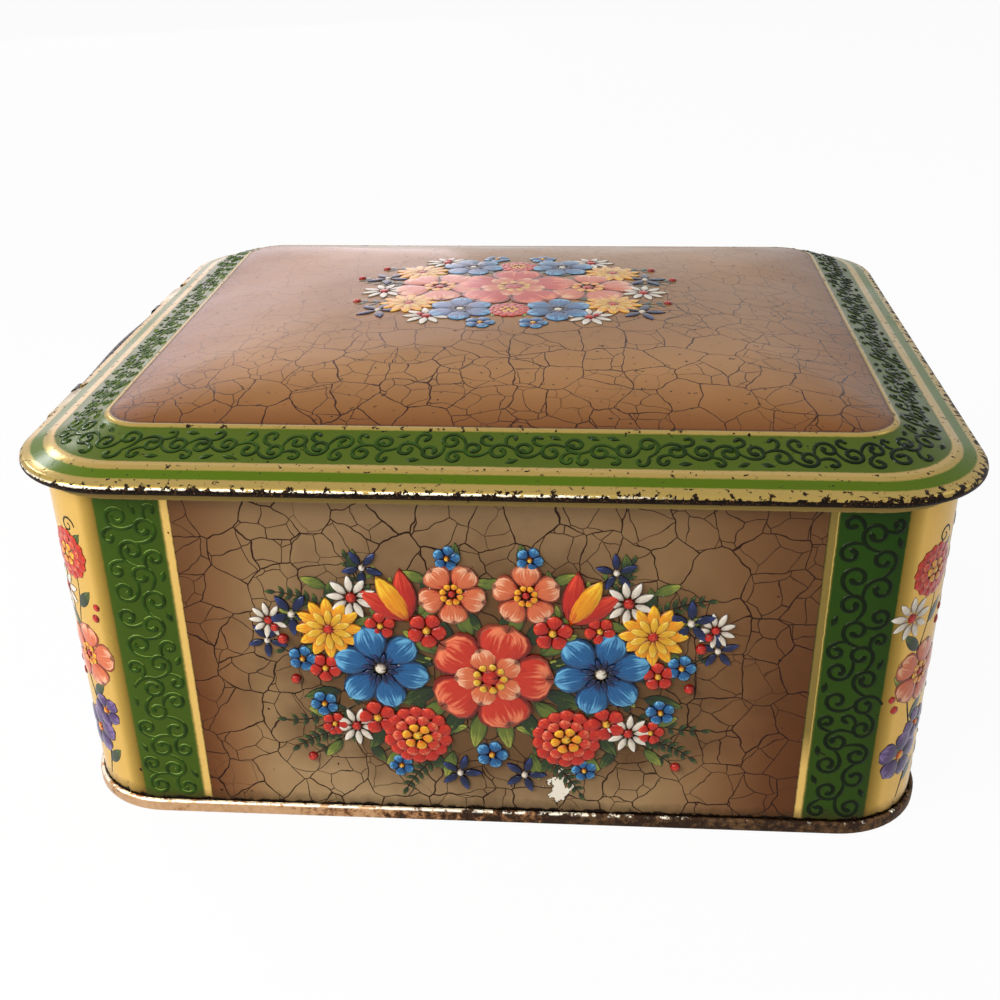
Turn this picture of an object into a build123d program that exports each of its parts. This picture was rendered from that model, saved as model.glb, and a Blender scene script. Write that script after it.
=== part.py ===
from build123d import *
from math import atan, cos, degrees, radians, sin, sqrt, tan
import os

# A rounded rectangular tinplate box, made as a can is made: a wall strip with a curled top edge, a base panel
# double-seamed to it, and a drawn cushion lid that swings on a wire outside the left wall.
# Millimetres. Origin in the middle of the box on the plane it stands on, +Z up, front wall at -Y, hinge at -X.

# Tinplate and fits
sheet = 0.3
seam_gap = 0.12
seat_gap = 0.3
pin_clearance = 0.05

# Walls
body_width = 200.0
body_depth = 176.0
body_corner = 20.0
body_height = 89.4
body_curl_radius = 1.2
body_curl_turn = 300.0
side_seam_width = 4.0
side_seam_from_right = 38.0
side_seam_layers = 2
side_seam_end_gap = 1.0

# Base
seam_height = 3.3
base_recess = 2.4
base_step_inset = 9.0
base_step_height = 0.8

# Lid
lid_overhang = 5.0
lid_bead_radius = 1.3
lid_bead_turn = 310.0
border_run = 18.2
border_rise = 5.85
dome_corner = 9.5
dome_rise = 7.8
dome_power = 2.8
dome_steps = (0.12, 0.3, 0.52, 0.74, 0.9, 0.975)
dome_corner_growth = 0.55
dome_corner_limit = 0.9

# Hinge
rod_radius = 1.0
rod_end_gap = 3.5
rod_bend_radius = 2.2
rod_clinch = 5.0
rod_clinch_gap = 0.4
hinge_gap = 0.31
hinge_bearing = 35.0
tab_width = 15.0
tab_from_corner = 45.0
tab_wrap = 290.0
tab_slit = 0.5
tab_root = 1.0
eye_width = 4.0
eye_sheet = 0.5
eye_side_gap = 1.0
eye_foot = 4.0
leg_angle = 45.0

# Sizes that follow from the ones above
lid_corner = body_corner + lid_overhang
border_angle = atan(border_rise / border_run)
slope = tan(border_angle)
sheet_drop = sheet / cos(border_angle)
body_curl_z = body_height - body_curl_radius
flange_z = (body_curl_z + (body_curl_radius + seat_gap) / cos(border_angle) + sheet_drop
            - (lid_overhang + body_curl_radius - lid_bead_radius) * slope)
bead_z = flange_z - lid_bead_radius
dome_inset = lid_bead_radius + border_run
dome_z = flange_z + border_rise
pin_bore = rod_radius + pin_clearance
hinge_reach = lid_bead_radius + hinge_gap + pin_bore + eye_sheet
rod_outreach = lid_overhang - lid_bead_radius + hinge_reach * cos(radians(hinge_bearing))
hinge_x = -(body_width / 2 + rod_outreach)
hinge_z = bead_z - hinge_reach * sin(radians(hinge_bearing))
leg = radians(leg_angle)
tab_y = body_depth / 2 - tab_from_corner
rod_leg_y = tab_y + tab_width / 2 + rod_end_gap
eye_y = tab_y - tab_width / 2 - eye_side_gap - eye_width / 2
strap_length = (rod_outreach + sheet) / cos(leg)
hook_low = sheet + seam_gap
seam_reach = 3 * (sheet + seam_gap)


# Plan outlines: the wall's outer face moved inward by an inset, and the lid's edge likewise
def wall_outline(inset):
    corner = max(body_corner - inset, 0.5)
    return RectangleRounded(body_width - 2 * inset, body_depth - 2 * inset, corner)


def lid_outline(inset, corner):
    width = body_width + 2 * (lid_overhang - inset)
    depth = body_depth + 2 * (lid_overhang - inset)
    return RectangleRounded(width, depth, corner)


def slab(outline, low, high):
    return extrude(Pos(0, 0, low) * outline, high - low)


def wall_ring(inset_out, inset_in, low, high):
    return slab(wall_outline(inset_out) - wall_outline(inset_in), low, high)


def arc_strip(middle_radius, start, turn):
    """A strip of the sheet's thickness, bent to an arc round the plane's origin."""
    outer = CenterArc((0, 0), middle_radius + sheet / 2, start, turn)
    inner = CenterArc((0, 0), middle_radius - sheet / 2, start, turn)
    return make_face(outer + inner + Line(outer @ 0, inner @ 0) + Line(outer @ 1, inner @ 1))


def curl(outline, height, radius, start, turn):
    """A hollow roll of the sheet's edge centred on the outline: 0 degrees points outward and 90 up."""
    path = (Pos(0, 0, height) * outline).wire()
    along = path % 0
    outward = Vector(along.Y, -along.X, 0)
    if outward.dot(path @ 0) < 0:
        outward = -outward
    place = Plane(origin=path @ 0, x_dir=outward, z_dir=outward.cross(Vector(0, 0, 1)))
    return sweep(place * arc_strip(radius - sheet / 2, start, turn), path=path)


def hinge_frame(y):
    """X outward from the wall and Y up, in the plane across the hinge line at this y."""
    return Plane(origin=(hinge_x, y, hinge_z), x_dir=(-1, 0, 0), z_dir=(0, 1, 0))


def leg_frame(y):
    """Z from the hinge line down to the wall, the way that the rod's ends and the eyes' straps run."""
    return Plane(origin=(hinge_x, y, hinge_z), x_dir=(0, 1, 0), z_dir=(cos(leg), 0, -sin(leg)))


def leg_bar(width, thickness, length):
    return Box(width, thickness, length, align=(Align.CENTER, Align.CENTER, Align.MIN))


# Walls: strip, body hook under the base's rim, curled top edge, lock seam inside the far wall
def make_body_shell():
    strip = wall_ring(0, sheet, hook_low, body_curl_z)
    hook_out = -2 * (sheet + seam_gap)
    hook_floor = wall_ring(hook_out, sheet, hook_low, hook_low + sheet)
    hook_wall = wall_ring(hook_out, hook_out + sheet, hook_low, seam_height - sheet - seam_gap)
    top = curl(wall_outline(body_curl_radius), body_curl_z, body_curl_radius, 0, body_curl_turn)
    fold = side_seam_layers * sheet
    inner_face = body_depth / 2 - sheet
    seam_low = seam_height + side_seam_end_gap
    seam_high = body_curl_z - body_curl_radius - side_seam_end_gap
    lock_seam = Pos(body_width / 2 - side_seam_from_right, inner_face, seam_low) * Box(
        side_seam_width, fold, seam_high - seam_low, align=(Align.CENTER, Align.MAX, Align.MIN))
    shell = strip + hook_floor + hook_wall + top + lock_seam
    through = strap_length + eye_foot
    bore = Cylinder(pin_bore, through, align=(Align.CENTER, Align.CENTER, Align.MIN))
    slot = leg_bar(eye_width + 2 * seam_gap, 2 * (eye_sheet + seam_gap), through)
    for side in (-1, 1):
        shell -= leg_frame(side * rod_leg_y) * bore
        shell -= leg_frame(side * eye_y) * slot
    return shell


# Base: sunk panel with a pressed step, upright rim inside the wall, and the roll that holds the body hook
def make_base_panel():
    chuck = sheet + seam_gap
    panel_top = base_recess + sheet
    panel = slab(wall_outline(chuck), base_recess, panel_top)
    pressed = (slab(wall_outline(base_step_inset), panel_top, panel_top + base_step_height)
               - slab(wall_outline(base_step_inset + sheet), base_recess, panel_top - sheet + base_step_height))
    middle_hole = slab(wall_outline(base_step_inset + sheet), base_recess, panel_top)
    panel = panel - middle_hole + pressed
    rim = wall_ring(chuck, chuck + sheet, 0, panel_top)
    floor = wall_ring(-seam_reach, chuck + sheet, 0, sheet)
    outside = wall_ring(-seam_reach, -seam_reach + sheet, 0, seam_height)
    roof = wall_ring(-seam_reach, -seam_gap, seam_height - sheet, seam_height)
    cover_hook = wall_ring(-seam_gap - sheet, -seam_gap, hook_low + sheet + seam_gap, seam_height)
    return panel + rim + floor + outside + roof + cover_hook


# Lid: a solid block with the lid's outer shape, less the same block moved down by the sheet
def lid_block(drop):
    foot = lid_outline(lid_bead_radius, lid_corner - lid_bead_radius)
    edge = lid_outline(dome_inset, dome_corner)
    border = loft([Pos(0, 0, flange_z - drop) * foot, Pos(0, 0, dome_z - drop) * edge], ruled=True)
    half_width = body_width / 2 + lid_overhang - dome_inset
    half_depth = body_depth / 2 + lid_overhang - dome_inset
    sections = [Pos(0, 0, dome_z - drop) * edge]
    for step in dome_steps:
        share = (1 - step) ** (1 / dome_power)
        corner = dome_corner + dome_corner_growth * half_depth * (1 - share)
        corner = min(corner, dome_corner_limit * share * half_depth)
        section = RectangleRounded(2 * share * half_width, 2 * share * half_depth, corner)
        sections.append(Pos(0, 0, dome_z - drop + step * dome_rise) * section)
    return border + loft(sections)


def make_lid():
    foot = lid_outline(lid_bead_radius, lid_corner - lid_bead_radius)
    skin = lid_block(0) + slab(foot, flange_z - sheet_drop, flange_z) - lid_block(sheet_drop)
    bead = curl(foot, bead_z, lid_bead_radius, 90, -lid_bead_turn)
    shell = skin + bead
    bead_width = 2 * lid_bead_radius
    slit = Box(bead_width + seam_gap, tab_width + 2 * tab_slit, 2 * bead_width)
    slit_x = -(body_width / 2 + lid_overhang) + (bead_width + seam_gap) / 2
    for side in (-1, 1):
        shell -= Pos(slit_x, side * tab_y, bead_z) * slit
        shell += make_tab(side * tab_y, bead_width + tab_root)
    return shell


# Tab: runs on from the border, straight to the top of its roll, and then round the rod
def make_tab(y, root_inset):
    root_x = -hinge_x - (body_width / 2 + lid_overhang - root_inset)
    root_z = flange_z + (root_inset - lid_bead_radius) * slope - sheet_drop / 2 - hinge_z
    middle_radius = pin_bore + sheet / 2
    distance = sqrt(root_x ** 2 + root_z ** 2)
    bearing = degrees(atan(root_z / root_x))
    lean = degrees(atan(sqrt(distance ** 2 - middle_radius ** 2) / middle_radius))
    touch = 180 - bearing - lean
    touch_point = (middle_radius * cos(radians(touch)), middle_radius * sin(radians(touch)))
    run = trace(Line((-root_x, root_z), touch_point), sheet)
    place = hinge_frame(y - tab_width / 2)
    return extrude(place * (run + arc_strip(middle_radius, touch, -tab_wrap)), tab_width, dir=(0, 1, 0))


# Rod: a wire with each end turned in through the wall and clinched down inside it
def make_hinge_rod():
    inside_x = -(body_width / 2 - sheet - rod_radius - rod_clinch_gap)
    inside_z = hinge_z - (inside_x - hinge_x) * tan(leg)
    points = []
    for side in (-1, 1):
        end = [Vector(inside_x, side * rod_leg_y, inside_z - rod_clinch),
               Vector(inside_x, side * rod_leg_y, inside_z),
               Vector(hinge_x, side * rod_leg_y, hinge_z)]
        points += end if side < 0 else end[::-1]
    wire = FilletPolyline(*points, radius=rod_bend_radius)
    profile = Plane(origin=wire @ 0, z_dir=wire % 0) * Circle(rod_radius)
    return sweep(profile, path=wire)


# Eye: a strap round the rod whose two layers pass the wall and part, one foot up and one foot down
def make_hinge_eye(y):
    ring = hinge_frame(y - eye_width / 2) * (Circle(pin_bore + eye_sheet) - Circle(pin_bore))
    ring = extrude(ring, eye_width, dir=(0, 1, 0))
    strap = leg_frame(y) * leg_bar(eye_width, 2 * eye_sheet, strap_length)
    strap -= Plane(origin=(hinge_x, y, hinge_z), z_dir=(0, 1, 0)) * Cylinder(pin_bore, 2 * eye_width)
    inner_face = -(body_width / 2 - sheet)
    pass_z = hinge_z - (rod_outreach + sheet) * tan(leg)
    foot = Pos(inner_face + pin_clearance, y, pass_z) * Box(
        eye_sheet, eye_width, 2 * eye_foot, align=(Align.MIN, Align.CENTER, Align.CENTER))
    return ring + strap + foot


def write(shape, node):
    export_step(shape, f"parts/{node}.step")


os.makedirs("parts", exist_ok=True)
write(make_body_shell(), "body_shell")
write(make_base_panel(), "base_panel")
write(make_lid(), "lid")
write(make_hinge_rod(), "hinge_rod")
write(make_hinge_eye(-eye_y), "hinge_eye_near")
write(make_hinge_eye(eye_y), "hinge_eye_far")
print("hinge line x, z:", round(hinge_x, 3), round(hinge_z, 3))
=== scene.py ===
import math
from functools import partial

import bmesh
import bpy
import numpy as np
from mathutils import Matrix, Vector


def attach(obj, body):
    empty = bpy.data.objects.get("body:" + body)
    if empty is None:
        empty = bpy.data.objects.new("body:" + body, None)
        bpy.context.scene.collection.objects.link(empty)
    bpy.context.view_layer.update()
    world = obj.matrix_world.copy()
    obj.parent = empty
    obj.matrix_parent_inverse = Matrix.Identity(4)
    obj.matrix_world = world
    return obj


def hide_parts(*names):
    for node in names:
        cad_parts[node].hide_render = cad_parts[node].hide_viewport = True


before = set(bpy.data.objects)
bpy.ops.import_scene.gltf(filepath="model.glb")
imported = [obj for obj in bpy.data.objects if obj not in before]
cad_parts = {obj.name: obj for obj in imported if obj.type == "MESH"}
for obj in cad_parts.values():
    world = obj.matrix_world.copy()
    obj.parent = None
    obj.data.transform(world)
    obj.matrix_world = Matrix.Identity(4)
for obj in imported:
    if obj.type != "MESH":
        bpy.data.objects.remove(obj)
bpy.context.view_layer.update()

mm = 0.001


# Camera: set to the photograph's viewing angle, from the left of the middle and well above the lid.
# The small upward shift is the photograph's own framing.
def placed(name, data):
    """A new object in the scene."""
    made = bpy.data.objects.new(name, data)
    bpy.context.collection.objects.link(made)
    return made


view_from = Vector((21.34, -326.29, 199.03)) * mm
view_yaw, view_pitch, view_roll = -0.0792, 0.5096, -0.0167
ahead = Vector((math.sin(view_yaw) * math.cos(view_pitch), math.cos(view_yaw) * math.cos(view_pitch),
                -math.sin(view_pitch)))
level_right = Vector((math.cos(view_yaw), -math.sin(view_yaw), 0))
level_up = level_right.cross(ahead)
right = math.cos(view_roll) * level_right + math.sin(view_roll) * level_up
up = right.cross(ahead)
camera = placed("camera", bpy.data.cameras.new("camera"))
camera.matrix_world = Matrix.Translation(view_from) @ Matrix((right, up, -ahead)).transposed().to_4x4()
camera.data.sensor_width = 36
camera.data.lens = 1.2837 * camera.data.sensor_width
camera.data.shift_y = 0.08
camera.data.clip_start = 0.01
bpy.context.scene.camera = camera
bpy.context.scene.view_settings.view_transform = "Standard"


# Studio: a pale table top under a plain white surround, with five soft window-like lamps.
# Camera and mirror rays see the surround as white; the lamps and a grey sky light the tin.
def add_node(tree, kind, *values, out=None, stops=(), **settings):
    """One node. Its kind goes without ShaderNode, and with its operation or data type after it. Values go in order
    to the inputs it shows, capitalised settings to inputs by name, and the others are its properties. stops are a
    colour ramp's places and colours, and text in them or in a value is a hex colour. Returns one output."""
    kind, _, choice = kind.partition(" ")
    made = tree.nodes.new(kind if "Node" in kind else "ShaderNode" + kind)
    if choice:
        setattr(made, "operation" if hasattr(made, "operation") else "data_type", choice)
    for key, value in settings.items():
        if not key[0].isupper():
            setattr(made, key, value)
    filled = list(zip([socket for socket in made.inputs if socket.enabled], values))
    filled += [(made.inputs[key.replace("_", " ")], value) for key, value in settings.items() if key[0].isupper()]
    for socket, value in filled:
        if isinstance(value, bpy.types.NodeSocket):
            tree.links.new(value, socket)
        elif value is not None:
            socket.default_value = ink(value) if isinstance(value, str) else value
    if stops:
        points = made.color_ramp.elements
        while len(points) < len(stops):
            points.new(1.0)
        for point, (place, colour) in zip(points, stops):
            point.position, point.color = place, ink(colour) if isinstance(colour, str) else colour
    return made.outputs[out] if out else next((socket for socket in made.outputs if socket.enabled), made)


def ink(hex_colour):
    """An sRGB hex colour as linear RGBA."""
    parts = [int(hex_colour[i:i + 2], 16) / 255 for i in (0, 2, 4)]
    return (*[c / 12.92 if c <= 0.04045 else ((c + 0.055) / 1.055) ** 2.4 for c in parts], 1.0)


def new_material(name):
    material = bpy.data.materials.new(name)
    material.use_nodes = True
    material.node_tree.nodes.clear()
    return material, partial(add_node, material.node_tree)


def plain_mesh(name, points, faces, unit=mm):
    """A mesh from its points, in mm unless the unit says otherwise."""
    mesh = bpy.data.meshes.new(name)
    mesh.from_pydata([[c * unit for c in point] for point in points], [], faces)
    return mesh


def seen_directly(add):
    """1 where a camera, mirror or see-through ray arrives, 0 for the light that falls on the tin."""
    path = add("LightPath").node
    seen = add("Math MAXIMUM", path.outputs["Is Camera Ray"], path.outputs["Is Glossy Ray"])
    return add("Math MAXIMUM", seen, path.outputs["Is Transmission Ray"])


world = bpy.data.worlds.new("white_surround")
world.use_nodes = True
world.node_tree.nodes.clear()
add = partial(add_node, world.node_tree)
sky_light = add("Background", "E9EBEE", 0.34)
sky_seen = add("Background", "FFFFFF", 1.0)
sky = add("MixShader", seen_directly(add), sky_light, sky_seen)
add("OutputWorld", sky)
bpy.context.scene.world = world

table_half = 3.0
table_finish, add = new_material("matt_white_laminate")
table_paint = add("BsdfDiffuse", "EEEEEC")
table_glow = add("Emission", "FFFFFF", 1.0)
table_share = add("Math MULTIPLY", seen_directly(add), 0.95)
add("OutputMaterial", add("MixShader", table_share, table_paint, table_glow))
table_top = placed("table_top", plain_mesh("table_top", [
    (-table_half, -table_half, 0), (table_half, -table_half, 0), (table_half, table_half, 0),
    (-table_half, table_half, 0)], [(0, 1, 2, 3)], unit=1))
table_top.data.materials.append(table_finish)

daylight, dusk_light = "FFFFFF", "FFE7F1"
lamps = (("window_left", (-0.5, -0.35, 0.42), 0.25, 3.4, daylight),
         ("window_front", (-0.4, -0.9, 0.8), 0.7, 5.0, daylight),
         ("window_right", (0.9, 0.1, 0.8), 0.6, 1.5, daylight),
         ("window_behind", (-0.58, 1.45, 0.46), 0.9, 3.0, dusk_light),
         ("window_pane", (-0.99, 0.87, 0.82), 0.16, 2.4, daylight))
for name, place, size, power, colour in lamps:
    lamp = placed(name, bpy.data.lights.new(name, "AREA"))
    lamp.data.size, lamp.data.energy, lamp.data.color = size, power, ink(colour)[:3]
    lamp.location = place
    lamp.rotation_euler = (Vector((0, 0, 0.05)) - lamp.location).to_track_quat("-Z", "Y").to_euler()


# Walls: one strip of printed tinplate bent round to a rounded rectangle, with its top edge curled inward
# and its foot hooked outward under the base's rim. The print is lacquered and crackled; the inside is bare tin.
wall_half = (100.0, 88.0)
wall_corner = 20.0
sheet = 0.3
curl_middle = (-1.2, 88.2)
curl_radius = 1.05
corner_steps = 16
fold_step = 15


def bent_line(points):
    """A line through (out, up, bend radius) points in mm, with each corner rounded to its radius."""
    line = []
    for i, (x, y, radius) in enumerate(points):
        here = Vector((x, y))
        if radius == 0:
            line.append(here)
            continue
        back = (Vector(points[i - 1][:2]) - here).normalized()
        on = (Vector(points[i + 1][:2]) - here).normalized()
        half = back.angle(on) / 2
        centre = here + (back + on).normalized() * radius / math.sin(half)
        start = here + back * radius / math.tan(half) - centre
        turn = math.pi - 2 * half
        side = math.copysign(1, back.y * on.x - back.x * on.y)
        count = max(2, round(math.degrees(turn) / fold_step))
        for k in range(count + 1):
            angle = side * turn * k / count
            line.append(centre + Vector((start.x * math.cos(angle) - start.y * math.sin(angle),
                                         start.x * math.sin(angle) + start.y * math.cos(angle))))
    return line


def ring_faces(rings, around, first=0):
    """The faces of a closed skin: rows between rings of points, and a plate over each end ring."""
    last = first + (rings - 1) * around
    rows = [(a + k, a + (k + 1) % around, a + around + (k + 1) % around, a + around + k)
            for a in range(first, last, around) for k in range(around)]
    return rows + [tuple(range(first, first + around))[::-1], tuple(range(last, last + around))]


def rolled_edge(centre, radius, start, turn):
    """Points along a roll of the sheet's edge, from start by turn degrees. 0 points outward and 90 up."""
    count = round(abs(turn) / fold_step)
    angles = [math.radians(start + turn * k / count) for k in range(count + 1)]
    return [Vector((centre[0] + radius * math.cos(a), centre[1] + radius * math.sin(a))) for a in angles]


def thick_line(line, thickness):
    """The closed outline of a sheet whose middle follows the line."""
    one_side, other_side = [], []
    for i, here in enumerate(line):
        before = (here - line[i - 1]).normalized() if i else (line[1] - here).normalized()
        after = (line[i + 1] - here).normalized() if i < len(line) - 1 else before
        normal = Vector((-before.y - after.y, before.x + after.x)).normalized()
        reach = thickness / 2 / max(0.5, normal.dot(Vector((-before.y, before.x))))
        one_side.append(here + normal * reach)
        other_side.append(here - normal * reach)
    return one_side + other_side[::-1]


def curve_object(name, lines, closed, swell=None):
    """A curve object of straight-segment splines, from points in mm."""
    data = bpy.data.curves.new(name, "CURVE")
    data.dimensions = "3D"
    for i, line in enumerate(lines):
        spline = data.splines.new("POLY")
        spline.points.add(len(line) - 1)
        spline.points.foreach_set("co", [v * mm for p in line for v in (*p, 0, 0, 0)[:4]])
        spline.points.foreach_set("radius", swell[i] if swell else [1.0] * len(line))
        spline.use_cyclic_u = closed
    return placed(name, data)


def node_group(name, inputs):
    """A Geometry Nodes tree with named inputs, what adds its nodes, and what its inputs give."""
    tree = bpy.data.node_groups.new(name, "GeometryNodeTree")
    tree.interface.new_socket("Geometry", in_out="INPUT", socket_type="NodeSocketGeometry")
    tree.interface.new_socket("Geometry", in_out="OUTPUT", socket_type="NodeSocketGeometry")
    for label, kind in inputs:
        tree.interface.new_socket(label, in_out="INPUT", socket_type="NodeSocket" + kind)
    add = partial(add_node, tree)
    return tree, add, add("NodeGroupInput").node.outputs


def ended(add, mesh, finish):
    """Ends a tree: its mesh made real, in its finish."""
    mesh = add("GeometryNodeRealizeInstances", mesh)
    add("NodeGroupOutput", add("GeometryNodeSetMaterial", mesh, Material=finish))


def baked(source):
    """The mesh that an object's modifiers make of it. The object itself goes."""
    mesh = bpy.data.meshes.new_from_object(source.evaluated_get(bpy.context.evaluated_depsgraph_get()))
    bpy.data.objects.remove(source)
    return mesh


def formed(source, tree, values):
    """Runs a tree on an object with these input values, and returns the result as a plain mesh."""
    modifier = source.modifiers.new(tree.name, "NODES")
    modifier.node_group = tree
    sockets = {s.name: s.identifier for s in tree.interface.items_tree if s.in_out == "INPUT"}
    for label, value in values.items():
        modifier[sockets[label]] = value
    bpy.context.view_layer.update()
    return baked(source)


def finished(mesh, name, body, node=None, sharp=40):
    """The piece's object: faces outward, smooth but for its sharp edges, riding on its body."""
    work = bmesh.new()
    work.from_mesh(mesh)
    bmesh.ops.remove_doubles(work, verts=work.verts, dist=0.002 * mm)
    bmesh.ops.recalc_face_normals(work, faces=work.faces)
    work.to_mesh(mesh)
    work.free()
    mesh.shade_smooth()
    mesh.set_sharp_from_angle(angle=math.radians(sharp))
    mesh.name = name
    piece = placed(name, mesh)
    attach(piece, body)
    if node:
        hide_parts(node)
    return piece


# The tree that takes the wall's cross-section round a rounded rectangle
strip_tree, add, given = node_group("sheet_round_corners", (
    ("Width", "Float"), ("Depth", "Float"), ("Corner", "Float"), ("Corner Steps", "Int"), ("Finish", "Material")))
route = add("GeometryNodeCurvePrimitiveQuadrilateral", given["Width"], given["Depth"])
route = add("GeometryNodeFilletCurve", route, mode="POLY", Radius=given["Corner"], Count=given["Corner Steps"],
            Limit_Radius=True)
route = add("GeometryNodeReverseCurve", route)
route = add("GeometryNodeSetCurveNormal", route, mode="Z_UP")
route = add("GeometryNodeSetCurveTilt", route, Tilt=math.pi)
ended(add, add("GeometryNodeCurveToMesh", route, given["Geometry"], Fill_Caps=False), given["Finish"])


# The print's bands, in metres of wall measured from the middle of each corner. A ramp of the print's colours
# covers print_span metres, and a clean edge between two of them takes the share print_edge of it.
corner_band = 0.0105
scroll_band = 0.02498
line_band = 0.0268
print_top = 0.0829
print_shift = 0.0012
print_span, print_edge = 0.1, 0.0006


def tin_material(name):
    """A new material, what adds its nodes, and where on the tin they are, in metres."""
    material, add = new_material(name)
    return material, add, add("TexCoord", out="Object")


def crackle(add, across, main_cell, fine_cell, seed):
    """Varnish crackle: 1 on a crack. Wide cracks part cells of main_cell metres, and in most of them finer
    cracks run from side to side, each cell's own. All wander, and their edges are ragged."""
    where = add("VectorMath ADD", across, (seed, seed * 0.7, 0))
    bend = add("TexNoise", where, out="Color", Scale=110.0, Detail=2.0)
    rag = add("TexNoise", where, out="Color", Scale=450.0, Detail=1.0)
    moved = add("VectorMath MULTIPLY_ADD", bend, (0.0048, 0.0048, 0.0048), where)
    moved = add("VectorMath MULTIPLY_ADD", rag, (0.0005, 0.0005, 0.0005), moved)
    weight = add("TexNoise", where, Scale=60.0, Detail=1.0)
    own = add("TexVoronoi", moved, out="Color", voronoi_dimensions="2D", Scale=1 / main_cell, Randomness=0.92)
    shifted = add("VectorMath MULTIPLY_ADD", own, (0.09, 0.09, 0), moved)
    cracks = []
    for place, cell, width in ((moved, main_cell, 0.00013), (shifted, fine_cell, 0.0001)):
        gap = add("TexVoronoi", place, feature="DISTANCE_TO_EDGE", voronoi_dimensions="2D", Scale=1 / cell,
                  Randomness=0.92)
        half = add("MapRange", weight, 0.3, 0.7, 0.6 * width / cell, 1.0 * width / cell)
        cracks.append(add("MapRange", gap, half, add("Math MULTIPLY", half, 1.7), 1.0, 0.0))
    split = add("MapRange", add("SeparateXYZ", own), 0.25, 0.4, 0.0, 0.9)
    return add("Math MAXIMUM", cracks[0], add("Math MULTIPLY", cracks[1], split))


def overlaid(add, colour, layers):
    """The colour under these layers, each with its share from 0 to 1 and its tint."""
    for share, tint in layers:
        colour = add("Mix RGBA", share, colour, tint)
    return colour


def surfaced(add, height, **look):
    """Ends a material's tree: its surface, with a height in metres as its bump."""
    bump = add("Bump", Height=height, Distance=1.0)
    add("OutputMaterial", add("BsdfPrincipled", Normal=bump, **look))


def lacquered(add, colour, metal, wear, relief, shine):
    """The litho sheet's surface: ink or gold lacquer under clear varnish, where worn bare rusted steel."""
    where = add("TexCoord", out="Object")
    speck = add("TexNoise", where, Scale=2600.0, Detail=3.0)
    smear = add("TexNoise", where, Scale=35.0, Detail=4.0)
    wavy = add("TexNoise", where, Scale=28.0, Detail=1.0)
    rust = add("ValToRGB", speck, stops=[(0.35, "0C0805"), (0.58, "1E120A"), (0.66, "4A2E1A"), (0.76, "9C7650")])
    height = add("Math MULTIPLY_ADD", wavy, 0.0005, add("Math MULTIPLY", wear, -0.00006))
    height = add("Math MULTIPLY_ADD", speck, 0.000006, height)
    height = add("Math MULTIPLY_ADD", relief, -0.00002, height)
    surfaced(add, height, Base_Color=add("Mix RGBA", wear, colour, rust), Metallic=add("Mix", wear, metal, 0.35),
             Roughness=add("Mix", wear, add("MapRange", smear, 0.3, 0.7, 0.16, 0.3), 0.55),
             Specular_IOR_Level=shine, Coat_Weight=0.2 * shine, Coat_Roughness=0.12)


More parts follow.
